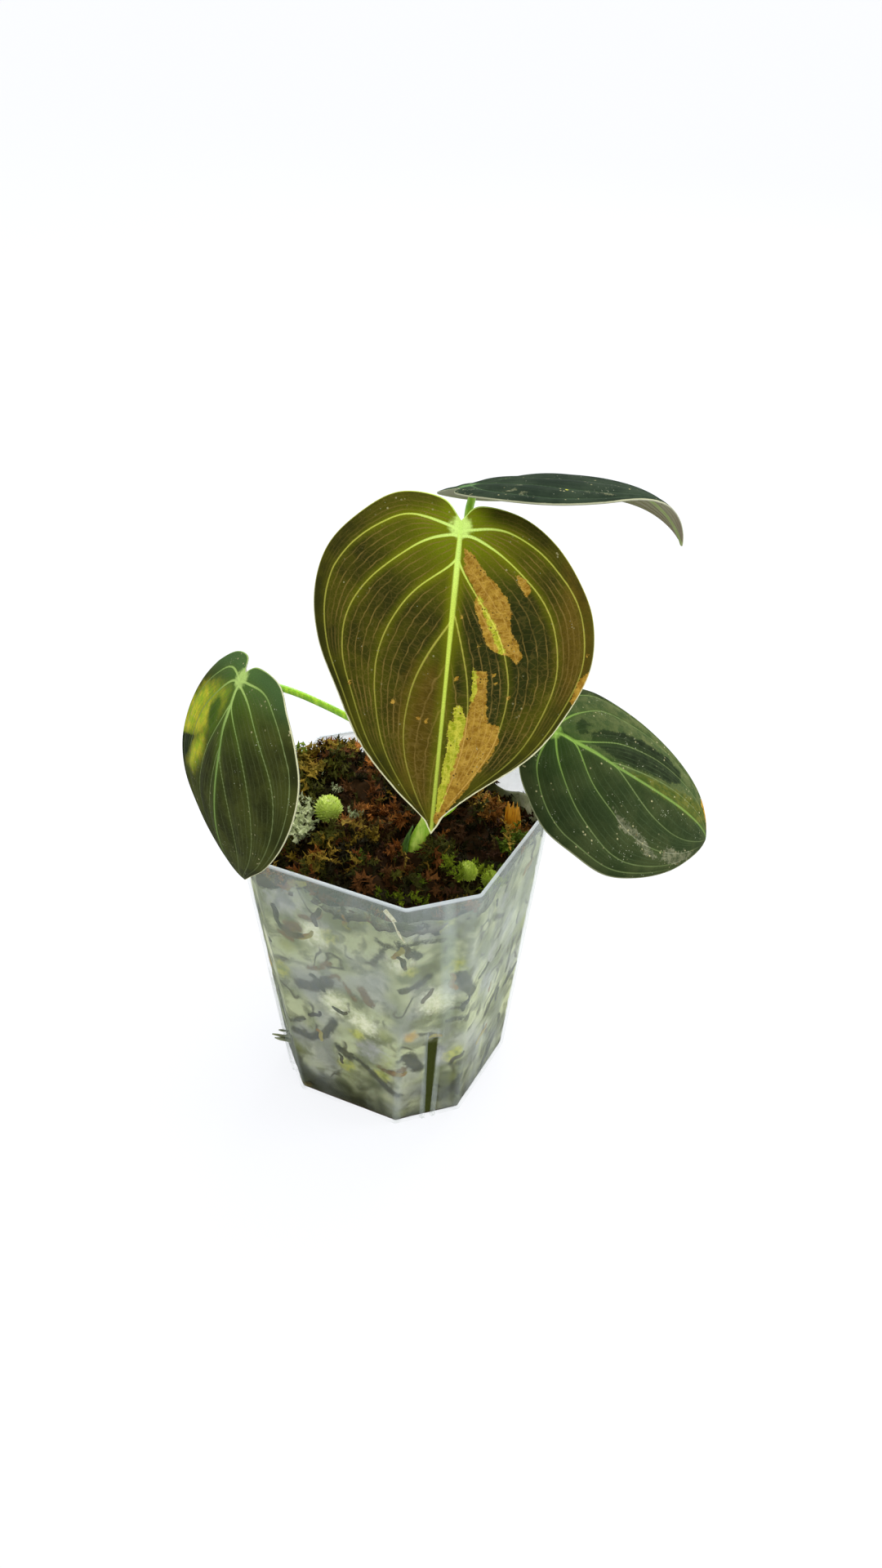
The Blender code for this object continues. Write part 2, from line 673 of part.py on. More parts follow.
def edge_samples(edge, rows):
    """Points evenly spaced along a smooth curve through the edge's points."""
    path = smooth_path([Vector(point) * MM for point in edge], 8)
    travel = [0.0]
    for start, end in zip(path, path[1:]):
        travel.append(travel[-1] + (end - start).length)
    samples = []
    for row in range(rows + 1):
        wanted = travel[-1] * row / rows
        index = max(i for i in range(len(path) - 1) if travel[i] <= wanted + 1e-12)
        share = (wanted - travel[index]) / (travel[index + 1] - travel[index])
        samples.append(path[index].lerp(path[index + 1], min(1.0, share)))
    return samples


def blade_columns():
    """Places across one half: each main vein and the crest between it and the next."""
    stops = [*VEIN_PLACES, 1.0]
    columns = []
    for start, end in zip(stops, stops[1:]):
        columns += [start, (start + end) / 2]
    return columns + [1.0]


def quilt(across, along_share):
    """How far the blade swells between its main veins, which lie in troughs."""
    stops = [*VEIN_PLACES, 1.0]
    for start, end in zip(stops, stops[1:]):
        if start <= across <= end:
            width = (end - start) / VEIN_PLACES[1]
            arch = math.sin(math.pi * (across - start) / (end - start))
            return QUILT_SWELL * width * arch * math.sin(math.pi * along_share) ** QUILT_END_POWER
    return 0.0


def make_blade(blade, parts, finish):
    half = blade_columns()
    columns = [-a for a in reversed(half[1:])] + half
    left = edge_samples(blade.left_edge, BLADE_ROWS)
    right = edge_samples(blade.right_edge, BLADE_ROWS)
    notch, tip = blade.left_edge[0][1] * MM, blade.length * MM
    points = [blade_point(blade, 0.0, notch)]
    for row in range(1, BLADE_ROWS):
        share = row / BLADE_ROWS
        for across in columns:
            edge = left[row] if across >= 0 else right[row]
            weight = abs(across)
            out = edge.x * across
            along = edge.y * weight + (notch + (tip - notch) * share) * (1 - weight)
            points.append(blade_point(blade, out, along, quilt(weight, share)))
    points.append(blade_point(blade, 0.0, tip))

    width = len(columns)
    faces = []
    for i in range(width - 1):
        faces.append((0, 2 + i, 1 + i))
        last = 1 + (BLADE_ROWS - 2) * width
        faces.append((last + i, last + i + 1, len(points) - 1))
        for row in range(BLADE_ROWS - 2):
            a = 1 + row * width + i
            b, c, d = a + 1, a + width + 1, a + width
            faces += [(a, b, c), (a, c, d)] if columns[i] >= 0 else [(a, b, d), (b, c, d)]
    leaf = add_object("leaf_" + blade.name, mesh_from(points, faces, blade.name), parts, finish)
    work = bmesh.new()
    work.from_mesh(leaf.data)
    bmesh.ops.recalc_face_normals(work, faces=work.faces)
    up = blade_frame(blade)[2]
    if sum((face.normal.dot(up) for face in work.faces)) < 0:
        bmesh.ops.reverse_faces(work, faces=work.faces)
    work.to_mesh(leaf.data)
    work.free()
    body = leaf.modifiers.new("thickness", "SOLIDIFY")
    body.thickness = BLADE_THICKNESS
    body.offset = -1
    return leaf


def make_petiole(blade, parts, finish):
    """The leaf's stalk, from the stem to a seat under the blade just past the notch."""
    tip_radius = blade.petiole_radii[-1] * MM
    under = BLADE_THICKNESS + GAP
    top = blade_point(blade, 0.0, PETIOLE_SEAT, -under)
    below = blade_point(blade, 0.0, PETIOLE_SEAT, -under - PETIOLE_RISE * tip_radius)
    path = [*(mm(point) for point in blade.petiole), below, top]
    radii = [radius * MM for radius in blade.petiole_radii] + [tip_radius, tip_radius]
    stalk = tube("petiole_" + blade.name, path, radii, parts)
    stalk.data.materials.append(finish)
    return stalk


# Moss heads and fern chip

def make_head(head, collection, name, extra=0.0):
    """A star head: a ball with rays round its crown, on a stalk."""
    x, y = head.place[0] * MM, head.place[1] * MM
    centre = Vector((x, y, moss_level(x, y) + head.lift * MM))
    radius = head.radius * MM
    mesh = bpy.data.meshes.new(name)
    work = bmesh.new()
    bmesh.ops.create_icosphere(work, subdivisions=2, radius=1.0)
    depth = 0.0 if extra else HEAD_RAY_DEPTH
    for vert in work.verts:
        spin = math.atan2(vert.co.y, vert.co.x)
        rays = depth * math.sqrt(1 - min(1.0, vert.co.z ** 2)) * math.sin(HEAD_RAYS * spin / 2) ** 2
        vert.co = centre + vert.co * (radius * (1 - rays) + extra)
    work.to_mesh(mesh)
    work.free()
    ball = add_object(name, mesh, collection)
    helpers = new_collection(name + "_stalk")
    foot = centre - Vector((0, 0, radius + HEAD_STALK_DEPTH + extra))
    cone(name + "_stalk", foot, centre, HEAD_STALK_RADIUS + extra, HEAD_STALK_RADIUS + extra, helpers, 8)
    boolean(ball, helpers, "UNION")
    empty_collection(helpers)
    bpy.data.collections.remove(helpers)
    return ball


def make_chip(collection, name, extra=0.0):
    """A curled flake of fern wood that stands upright, narrower at its ragged top."""
    x, y = CHIP_FOOT[0] * MM, CHIP_FOOT[1] * MM
    foot = moss_level(x, y) - CHIP_SUNK - extra
    rows, columns = CHIP_ROWS, CHIP_COLUMNS
    arc = CHIP_WIDTH / CHIP_CURL_RADIUS
    narrowing, raggedness = (0.0, 0.0) if extra else (CHIP_NARROWING, CHIP_RAGGED)
    points = []
    for face in (-1, 1):
        radius = CHIP_CURL_RADIUS + face * (CHIP_THICKNESS / 2 + extra)
        for row in range(rows + 1):
            share = row / rows
            for column in range(columns + 1):
                across = column / columns - 0.5
                ragged = 1 - raggedness * math.sin(CHIP_TEETH * across) ** 2 * share
                spread = arc * (1 - narrowing * share) + 2 * extra / CHIP_CURL_RADIUS
                angle = CHIP_FACING + across * spread
                height = foot + (CHIP_HEIGHT + extra) * share * ragged
                points.append(Vector((x + radius * math.cos(angle), y + radius * math.sin(angle), height)))
    wide = columns + 1
    count = wide * (rows + 1)
    faces = []
    for row in range(rows):
        for column in range(columns):
            a = row * wide + column
            faces.append((a, a + wide, a + wide + 1, a + 1))
            faces.append((count + a, count + a + 1, count + a + wide + 1, count + a + wide))
    border = ([(i, i + 1) for i in range(columns)]
              + [(columns + wide * r, columns + wide * (r + 1)) for r in range(rows)]
              + [(count - 1 - i, count - 2 - i) for i in range(columns)]
              + [(wide * (r + 1), wide * r) for r in reversed(range(rows))])
    faces += [(a, b, count + b, count + a) for a, b in border]
    mesh = mesh_from(points, faces, name)
    work = bmesh.new()
    work.from_mesh(mesh)
    bmesh.ops.triangulate(work, faces=work.faces)
    bmesh.ops.recalc_face_normals(work, faces=work.faces)
    work.to_mesh(mesh)
    work.free()
    return add_object(name, mesh, collection)


def build():
    clear_scene()
    parts = new_collection("potted_philodendron")
    cutters = new_collection("cutters")
    plastic = material("frosted_plastic", (0.66, 0.70, 0.68), 0.35, alpha=0.45)
    moss_finish = material("sphagnum_moss", (0.16, 0.11, 0.04), 0.95)
    green_moss = material("green_moss", (0.42, 0.55, 0.12), 0.9)
    amber_fern = material("fern_chip", (0.45, 0.22, 0.03), 0.8)
    stem_green = material("stem_green", (0.25, 0.45, 0.07), 0.45)
    sheath_green = material("sheath_green", (0.06, 0.16, 0.03), 0.5)
    leaf_green = material("velvet_leaf", (0.055, 0.075, 0.015), 0.6, subsurface=0.1)

    make_pot(parts, cutters, plastic)
    moss = make_moss_plug(parts, moss_finish)
    add_sprigs(moss)

    holes = new_collection("moss_holes")
    make_stem("stem_hole", holes, extra=GAP)
    tube("stem_mouth", [mm(point) for point in STEM_MOUTH_PATH],
         [STEM_HOLE_RADIUS] * len(STEM_MOUTH_PATH), holes, sides_level=3)
    for head in MOSS_HEADS:
        make_head(head, holes, "hole_" + head.name, extra=GAP)
    make_chip(holes, "chip_hole", extra=GAP)
    boolean(moss, holes, "DIFFERENCE")
    for item in list(holes.objects):
        holes.objects.unlink(item)
        cutters.objects.link(as_cutter(item))
    bpy.data.collections.remove(holes)

    stem = make_stem("stem_with_roots", parts)
    stem.data.materials.append(stem_green)
    make_sheath(parts, sheath_green)
    for head in MOSS_HEADS:
        star = make_head(head, parts, "moss_head_" + head.name)
        star.data.materials.append(green_moss)
    chip = make_chip(parts, "fern_chip")
    chip.data.materials.append(amber_fern)
    for blade in BLADES:
        make_blade(blade, parts, leaf_green)
        make_petiole(blade, parts, stem_green)


build()
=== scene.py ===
"""Looks of the potted philodendron: velvet leaves, stalks, moss and the frosted pot.

Lengths are in metres unless a comment says mm. The shapes follow the same rules as the solids,
with finer meshes, and stand where the solids stand.
"""
import json
import math
import random
from dataclasses import dataclass

import bmesh
import bpy
import numpy as np
from mathutils import Matrix, Vector, noise

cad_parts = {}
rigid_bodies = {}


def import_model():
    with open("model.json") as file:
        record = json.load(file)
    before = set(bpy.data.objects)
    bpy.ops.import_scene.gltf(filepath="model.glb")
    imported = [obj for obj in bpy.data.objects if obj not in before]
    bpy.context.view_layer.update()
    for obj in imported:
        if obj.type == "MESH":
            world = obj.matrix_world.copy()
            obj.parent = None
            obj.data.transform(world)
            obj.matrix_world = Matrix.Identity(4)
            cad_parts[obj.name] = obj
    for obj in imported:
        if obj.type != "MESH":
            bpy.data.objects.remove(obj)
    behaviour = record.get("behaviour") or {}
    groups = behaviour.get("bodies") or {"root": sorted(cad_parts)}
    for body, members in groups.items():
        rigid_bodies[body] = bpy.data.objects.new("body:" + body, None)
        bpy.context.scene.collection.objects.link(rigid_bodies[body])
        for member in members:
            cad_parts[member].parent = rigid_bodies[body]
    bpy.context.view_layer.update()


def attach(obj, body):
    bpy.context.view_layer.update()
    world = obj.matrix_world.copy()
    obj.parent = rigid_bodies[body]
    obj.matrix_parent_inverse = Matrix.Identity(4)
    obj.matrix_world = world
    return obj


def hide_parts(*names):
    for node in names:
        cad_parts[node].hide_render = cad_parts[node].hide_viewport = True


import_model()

MM = 0.001

# Camera and light
CAMERA_ELEVATION = math.radians(34.01)
CAMERA_DISTANCE = 507.44 * MM
CAMERA_TARGET = (15.315, 0.0, 115.42)
CAMERA_ROLL = 0.0175
CAMERA_SENSOR = 36.0
CAMERA_LENS = 35.853

# Pot
POT_HEIGHT = 104.7 * MM
RIM_HALF_WIDTH = 45.0 * MM
BASE_HALF_WIDTH = 35.2 * MM
RIM_CORNER_CUT = 17.3 * MM
BASE_CORNER_CUT = 16.6 * MM
POT_TURN = math.radians(-25.8)
WALL = 0.8 * MM
CORNER_COUNT = 4
MERGE_DISTANCE = 0.001 * MM
SHARP_FOLD = math.radians(35)

# Moss
MOSS_WALL_LEVEL = 93.0 * MM
MOSS_DOME = 8.0 * MM
MOSS_HEAP = 12.0 * MM
MOSS_HEAP_PLACE = (-26, 26)
MOSS_HEAP_SPREAD = 18.0 * MM
MOSS_LUMP = 4.2 * MM
MOSS_LUMP_PITCH = 13.0 * MM
MOSS_FINE_LUMP = 0.6
MOSS_FINE_PITCH = 0.45
BED_SIDES = 288
BED_SIDE_LEVELS = 90
BED_TOP_RINGS = 34
BED_INSET = 1.15 * MM
STRAND_INSET = 0.95 * MM
BED_BRIM = 96.5 * MM
BED_BRIM_WAVE = 6.0 * MM
BED_ROUGHNESS = 0.7 * MM
WALL_ROUGHNESS = 0.25 * MM
BED_NOISE_PITCH = 2.6 * MM
CLUMP_PITCH = 8.5 * MM
CLUMP_HEIGHT = 3.0 * MM

# What stands in the moss, as in the solids. Paths, places and plain lengths are in mm.
STEM_PATH = ((2, -18, 76), (4, -17.6, 92), (7.2, -17, 103), (12.6, -16, 114), (17.4, -13.5, 123))
STEM_RADII = (2.2, 2.7, 2.7, 2.5, 2.0)
ROOT_PATHS = (
    ((2, -18, 80), (-7, -13, 70), (-15, -7, 52), (-18, -5, 30), (-16, -8, 14)),
    ((2, -18, 80), (8, -25, 68), (12, -29, 50), (9, -27, 28)),
    ((2, -18, 80), (6, -8, 68), (13, 5, 52), (17, 13, 32), (14, 18, 16)),
    ((2, -18, 80), (-5, -27, 69), (-9, -31, 52), (-4, -29, 34)),
    ((2, -18, 80), (-2, -8, 66), (-6, 6, 46), (-8, 15, 24)),
)
ROOT_TOP_RADIUS = 1.2
ROOT_TIP_RADIUS = 0.7
WALL_ROOT_PATH = ((-1.2, -47.3, 100.4), (0.1, -47.7, 98.9), (1.6, -48.3, 97.2), (2.6, -48.5, 94.8),
                  (3.6, -48.7, 92.1), (5.1, -49.0, 89.4))
WALL_ROOT_RADIUS = 0.65
WALL_ROOT_TIP_RADIUS = 0.35
ROOT_SIDES = 12
WALL_ROOT_SIDES = 14
STEM_SIDES = 32
STEM_STEPS = 24
LEAF_SCARS = (0.36, 0.52, 0.70, 0.86)
HEADS = (("left", (-21.5, -0.8), 4.8, 2.4), ("front", (24.1, -25.8), 3.4, 1.6),
         ("corner", (31.5, -26.4), 3.0, 1.4))
CHIP_FOOT = (41.0, 8.0)
CHIP_HEIGHT = 18.0 * MM
CHIP_WIDTH = 7.0 * MM
CHIP_THICKNESS = 1.0 * MM
CHIP_CURL_RADIUS = 5.5 * MM
CHIP_FACING = math.radians(250)
CHIP_NARROWING = 0.35
CHIP_SUNK = 4.0 * MM
SHEATH_FOOT = 0.30
SHEATH_TOP = 0.62
SHEATH_ARC = math.radians(135)
SHEATH_FACING = math.radians(95)
SHEATH_STAND_OFF = 0.35
SHEATH_FLARE = 0.5
SHEATH_THICKNESS = 0.4
SHEATH_RIB = 0.10
SHEATH_COLUMNS = 28
SHEATH_TIP_SHARE = 0.12
SHEATH_TAPER_POWER = 2.2
WISP_CORNER = 3
SLIT_HEIGHT = 42.0 * MM
RIB_HEIGHT = 46.0 * MM

# Blades
BLADE_THICKNESS = 0.5 * MM
MARGIN_THICKNESS = 0.28 * MM
BLADE_ROWS = 150
BLADE_COLUMNS = 62
CURL_SPAN = 0.45
TIP_DROOP_POWER = 4
BEND_STEPS = 24
QUILT_SWELL = 0.42 * MM
GROOVE_DEPTH = 0.22 * MM
GROOVE_WIDTH = 0.55 * MM
MIDRIB_GROOVE = 0.35 * MM
MIDRIB_KEEL = 0.9 * MM
FAR_OUTSIDE = -6.0
KEEL_WIDTH = 2.2
KEEL_NARROWING = 1.7

UP = Vector((0, 0, 1))


def mm(point):
    """A point in millimetres, as a vector in metres."""
    return Vector(point) * MM


def toward(angle):
    """The level direction at an angle."""
    return Vector((math.cos(angle), math.sin(angle), 0))


# Words for node trees and finishes

class Tree:
    """A node tree with short words for the nodes that the finishes use."""

    def __init__(self, tree):
        self.tree = tree

    def node(self, kind, inputs=None, **settings):
        """A node with its settings, then its inputs by name or number: values or other nodes' outputs."""
        item = self.tree.nodes.new(kind)
        for key, value in settings.items():
            setattr(item, key, value)
        for key, value in (inputs or {}).items():
            self.put(item.inputs[key], value)
        return item

    def put(self, socket, value):
        if isinstance(value, bpy.types.NodeSocket):
            self.tree.links.new(value, socket)
        elif isinstance(value, tuple) and len(value) == 3 and socket.type == "RGBA":
            socket.default_value = (*value, 1.0)
        else:
            socket.default_value = value

    def math(self, operation, *values, clamp=False):
        item = self.node("ShaderNodeMath", operation=operation, use_clamp=clamp)
        for socket, value in zip(item.inputs, values):
            self.put(socket, value)
        return item.outputs[0]

    def times(self, first, *others):
        for other in others:
            first = self.math("MULTIPLY", first, other)
        return first

    def largest(self, first, *others):
        for other in others:
            first = self.math("MAXIMUM", first, other)
        return first

    def absolute(self, value):
        return self.math("ABSOLUTE", value)

    def plus(self, first, second):
        return self.math("ADD", first, second)

    def minus(self, first, second):
        return self.math("SUBTRACT", first, second)

    def part(self, vector, axis):
        return self.node("ShaderNodeSeparateXYZ", {0: vector}).outputs[axis]

    def remap(self, value, low, high, to_low=0.0, to_high=1.0, smooth=True):
        item = self.node("ShaderNodeMapRange", {"Value": value, "From Min": low, "From Max": high,
                                                "To Min": to_low, "To Max": to_high},
                         interpolation_type="SMOOTHSTEP" if smooth else "LINEAR")
        return item.outputs["Result"]

    def fall(self, value, low, high):
        return self.remap(value, low, high, 1.0, 0.0)

    def mix(self, factor, first, second):
        item = self.node("ShaderNodeMix", {0: factor, 6: first, 7: second}, data_type="RGBA")
        return item.outputs[2]

    def blend(self, value, low, high, first, second):
        """The first colour where the value is low, and the second where it is high."""
        return self.mix(self.remap(value, low, high), first, second)

    def noise(self, vector, scale, detail=3.0, roughness=0.5, distortion=0.0):
        item = self.node("ShaderNodeTexNoise", {"Vector": vector, "Scale": scale, "Detail": detail,
                                                "Roughness": roughness, "Distortion": distortion})
        return item.outputs[0]

    def wobble(self, *settings):
        """Noise round zero."""
        return self.minus(self.noise(*settings), 0.5)

    def voronoi(self, vector, scale, feature="F1", randomness=1.0):
        item = self.node("ShaderNodeTexVoronoi", {"Vector": vector, "Scale": scale,
                                                  "Randomness": randomness}, feature=feature)
        return item.outputs["Distance"]

    def stretch(self, vector, scale):
        return self.node("ShaderNodeMapping", {"Vector": vector, "Scale": scale}).outputs[0]

    def attribute(self, name, output="Fac"):
        return self.node("ShaderNodeAttribute", attribute_name=name).outputs[output]

    def place(self):
        return self.node("ShaderNodeTexCoord").outputs["Object"]

    def streaks(self, squash, scale, detail=3.0, roughness=0.6):
        """Noise on the piece's own place, drawn out along Z where squash is under one."""
        return self.noise(self.stretch(self.place(), (1.0, 1.0, squash)), scale, detail, roughness)

    def group(self, tree, inputs):
        return self.node("ShaderNodeGroup", inputs, node_tree=tree).outputs[0]


def new_group(name, inputs, outputs, kind="ShaderNodeTree"):
    """An empty node group with named sockets: a Tree, its input sockets and its output node."""
    tree = bpy.data.node_groups.new(name, kind)
    for label, value_kind, value in inputs:
        socket_type = "NodeSocket" + value_kind
        socket = tree.interface.new_socket(label, in_out="INPUT", socket_type=socket_type)
        if value is not None:
            socket.default_value = value
    for label, value_kind in outputs:
        tree.interface.new_socket(label, in_out="OUTPUT", socket_type="NodeSocket" + value_kind)
    work = Tree(tree)
    start = work.node("NodeGroupInput")
    end = work.node("NodeGroupOutput")
    return work, start.outputs, end


def vein_line_group():
    """Lines that run along the veins: Phase is a whole number on each of them."""
    work, given, end = new_group(
        "vein_lines", [("Phase", "Float", 0.0), ("Pitch", "Float", 5.0), ("Count", "Float", 1.0),
                       ("Width", "Float", 0.3), ("Soft", "Float", 0.3)], [("Mask", "Float")])
    scaled = work.times(given["Phase"], given["Count"])
    off = work.absolute(work.minus(scaled, work.math("ROUND", scaled)))
    distance = work.math("DIVIDE", work.times(off, given["Pitch"]), given["Count"])
    outer = work.plus(given["Width"], given["Soft"])
    work.put(end.inputs["Mask"], work.fall(distance, given["Width"], outer))
    return work.tree


def ragged_group():
    """Inside of a patch whose edge is torn by noise: Gap is the distance inside it, in mm."""
    work, given, end = new_group(
        "ragged_patch", [("Vector", "Vector", None), ("Gap", "Float", 0.0), ("Tear", "Float", 1.0),
                         ("Soft", "Float", 0.25)], [("Mask", "Float")])
    place = given["Vector"]
    tear = work.plus(work.wobble(place, 420.0, 2.0), work.wobble(place, 1500.0, 3.0, 0.7))
    moved = work.plus(given["Gap"], work.times(tear, given["Tear"]))
    low = work.times(given["Soft"], -1.0)
    work.put(end.inputs["Mask"], work.remap(moved, low, given["Soft"]))
    return work.tree


def grain_group():
    """Fine colour grain: lightens and darkens a colour by noise of one size."""
    work, given, end = new_group(
        "colour_grain", [("Color", "Color", (0.5, 0.5, 0.5, 1.0)), ("Vector", "Vector", None),
                         ("Scale", "Float", 1000.0), ("Amount", "Float", 0.3)], [("Color", "Color")])
    shift = work.times(work.wobble(given["Vector"], given["Scale"], 4.0, 0.6), given["Amount"])
    gain = work.plus(work.times(shift, 2.0), 1.0)
    item = work.node("ShaderNodeHueSaturation", {"Color": given["Color"], "Value": gain})
    work.put(end.inputs["Color"], item.outputs[0])
    return work.tree


VEIN_LINES = vein_line_group()
RAGGED = ragged_group()
GRAIN = grain_group()
GRAIN_SCALE = 2600.0


def grained(work, colour, vector, amount, scale=GRAIN_SCALE):
    return work.group(GRAIN, {"Color": colour, "Vector": vector, "Scale": scale, "Amount": amount})


def torn(work, vector, name, tear, soft):
    """Inside of the patch whose distances the mesh carries under this name."""
    return work.group(RAGGED, {"Vector": vector, "Gap": work.attribute(name), "Tear": tear, "Soft": soft})


class Finish(Tree):
    """A material with a Principled shader, as a Tree that also sets what the shader shows."""

    def __init__(self, name, colour, roughness, specular=0.5):
        self.material = bpy.data.materials.new(name)
        self.material.use_nodes = True
        self.material.diffuse_color = (*colour, 1.0)
        super().__init__(self.material.node_tree)
        self.shader = self.tree.nodes["Principled BSDF"]
        self.set("Base Color", colour)
        self.set("Roughness", roughness)
        self.set("Specular IOR Level", specular)

    def set(self, label, value):
        self.put(self.shader.inputs[label], value)

    def paint(self, colour, through=0.0):
        """Sets the colour, and lets a share of the light through a thin leaf, flake or strand."""
        self.set("Base Color", colour)
        if through:
            self.let_through(colour, through)

    def let_through(self, colour, share):
        thin = self.node("ShaderNodeBsdfTranslucent", {"Color": colour})
        mix = self.node("ShaderNodeMixShader", {0: share, 1: self.shader.outputs[0], 2: thin.outputs[0]})
        self.put(self.tree.nodes["Material Output"].inputs["Surface"], mix.outputs[0])

    def bump(self, height, strength, distance):
        item = self.node("ShaderNodeBump", {"Height": height, "Strength": strength, "Distance": distance})
        self.set("Normal", item.outputs[0])


# Blades

@dataclass
class Look:
    """Colours of a blade's upper side, and how strongly the markings show. bright is a painted glow
    along the veins and backlit_heart_glow a painted glow at the junction, both standing for light that
    shines through the blade from behind; net the fine veins, cream the width of the pale margin near the
    tip in mm, knot how much the veins thicken at the junction in mm, dust how widely pale specks lie,
    backlit_junction_glow how strongly the panels round the junction are painted with that glow, and
    lobe_tone_and_sheen how much paler and greener the lobes behind it are: partly their own tone, partly
    painted velvet sheen."""
    dark: tuple
    light: tuple
    bright: tuple
    backlit_heart_glow: tuple
    rib: tuple
    vein: tuple
    net: tuple
    rib_width: float
    vein_strength: float
    net_strength: float
    halo: float
    speck: float
    through: float
    cream: float = 0.6
    knot: float = 0.1
    dust: float = 0.0
    backlit_junction_glow: float = 0.3
    lobe_tone_and_sheen: float = 0.0


@dataclass
class Blade:
    """One leaf blade, as in the solids. Edges, patches and ripples are in mm on the flat blade: out
    from the midrib, then along it. veins gives each main vein of the left and right half, outermost
    first, as (share of the way to the tip, share of the way out to the edge). margins gives, for each
    half, the share of the way to the tip where its pale rim starts, and how strong that is. seats
    gives how far along the midrib the stalk runs into it, in mm."""
    name: str
    junction: tuple
    heading: float
    pitch: float
    roll: float
    length: float
    droop: float
    tip_droop: float
    folds: tuple
    curls: tuple
    sway: float
    left_edge: tuple
    right_edge: tuple
    petiole: tuple
    petiole_radii: tuple
    look: Look
    veins: tuple
    margins: tuple = ((0.0, 0.4), (0.0, 0.4))
    patches: tuple = ()
    seats: tuple = (1.0, 1.6, 4.0)


WIDE_VEINS = (
    ((0.03, 0.0), (0.075, 0.35), (0.155, 0.70), (0.23, 0.82), (0.33, 0.88), (0.46, 0.92), (1.0, 0.965)),
    ((0.05, 0.0), (0.095, 0.25), (0.19, 0.45), (0.32, 0.60), (0.43, 0.73), (0.52, 0.80), (0.65, 0.85),
     (1.0, 0.90)),
    ((0.12, 0.0), (0.165, 0.08), (0.285, 0.28), (0.44, 0.45), (0.56, 0.56), (0.70, 0.66), (1.0, 0.78)),
    ((0.32, 0.0), (0.37, 0.05), (0.49, 0.18), (0.605, 0.30), (0.715, 0.40), (0.85, 0.47), (1.0, 0.5)),
)
SLIM_VEINS = (
    ((0.03, 0.0), (0.08, 0.38), (0.13, 0.66), (0.195, 0.79), (0.29, 0.88), (0.43, 0.93), (1.0, 0.965)),
    ((0.05, 0.0), (0.095, 0.30), (0.17, 0.47), (0.265, 0.60), (0.35, 0.69), (0.48, 0.75), (0.64, 0.81),
     (1.0, 0.88)),
    ((0.12, 0.0), (0.195, 0.10), (0.32, 0.25), (0.395, 0.33), (0.485, 0.40), (0.64, 0.50), (1.0, 0.62)),
    ((0.28, 0.0), (0.35, 0.05), (0.455, 0.11), (0.545, 0.16), (0.7, 0.23), (1.0, 0.3)),
)

TAN_UPPER = ((-1.6, 6.2), (-1.8, 9.5), (-2.2, 12.5), (-4.9, 16.6), (-6.3, 19.9), (-5.9, 22.6), (-7.2, 25.5),
             (-8.8, 29.5), (-10.1, 32.7), (-11.2, 34.4), (-14.3, 35.2), (-16.4, 35.3), (-19.4, 37.9),
             (-20.5, 35.4), (-19.3, 31.7), (-17, 29.6), (-16.3, 25.9), (-16.7, 23.4), (-14.3, 18.8),
             (-11.4, 15.7), (-7.7, 12.3), (-4.8, 8.4))
TAN_LOWER = ((-7.2, 40.4), (-11.2, 40.6), (-11.6, 46.5), (-12.5, 54.7), (-16.3, 55.4), (-16.1, 59.9),
             (-14.2, 64.6), (-10.6, 70.2), (-7.3, 75.7), (-4.3, 80.1), (-1.8, 85.4), (-0.4, 83.8),
             (-1, 77.1), (-2, 69), (-2.2, 61), (-1.7, 55.6), (-3.4, 54.5), (-2.7, 50.9), (-5.4, 51.1),
             (-6.7, 54.7), (-7.1, 51.8), (-7.8, 46.5))
LIME_LOWER = ((-1.7, 55.6), (-3.4, 54.5), (-2.7, 50.9), (-5.4, 51.1), (-6.7, 54.7), (-5.7, 61.3),
              (-4, 70.7), (-1.9, 80.5), (-0.6, 81), (-1, 77), (-2.2, 61))
LIME_PRONG = ((-7.0, 40.2), (-8.3, 40.5), (-8.8, 46), (-7.4, 51), (-7.6, 46.5))
LIME_STREAK = ((-6.0, 19.0), (-7.4, 19.5), (-11.6, 26.0), (-14.6, 32.0), (-15.6, 35.0), (-14.2, 35.2),
               (-11.8, 30.4), (-8.4, 24.0))
TAN_FLECK = ((-16.5, 12.3), (-18.5, 12.5), (-21.5, 16.7), (-20.2, 18.5), (-17.9, 15.3))
TAN_MARGIN = ((-40.2, 37.5), (-37.2, 40), (-35.4, 46.5), (-37.6, 48))


def flecks(places, half_width, half_length):
    """Small slanted patches round the places."""
    return tuple(((x - half_width, y - half_length), (x + 0.8 * half_width, y - 0.5 * half_length),
                  (x + half_width, y + half_length), (x - 0.8 * half_width, y + 0.4 * half_length))
                 for x, y in places)


FRONT_FLECKS = flecks(((26.7, 47.2), (13.9, 51.2), (6.6, 55.2), (4.4, 55.7), (-13.9, 43.6), (-13.1, 41.7),
                       (-17.9, 47.1), (-2.6, 26), (-8.1, 33.8), (-3, 43.1), (-38.9, 33.2)), 0.45, 0.6)

LEFT_OCHRE = ((3.2, 4.6), (12.2, 5.5), (22, 9.2), (29.5, 17), (33.5, 29), (20.3, 24.8), (11, 19.5), (4, 10))
LEFT_YELLOW = ((12.5, 21), (21.9, 28.6), (25.5, 36.4), (19.8, 36), (12.3, 26.8))
LEFT_DARK = ((34, 29.5), (21.4, 25.6), (27.5, 34.6), (34, 39))
LEFT_SPOT = ((5.0, 8.0), (9.5, 8.5), (12.8, 12), (12.4, 17), (9, 21.5), (5.5, 17))

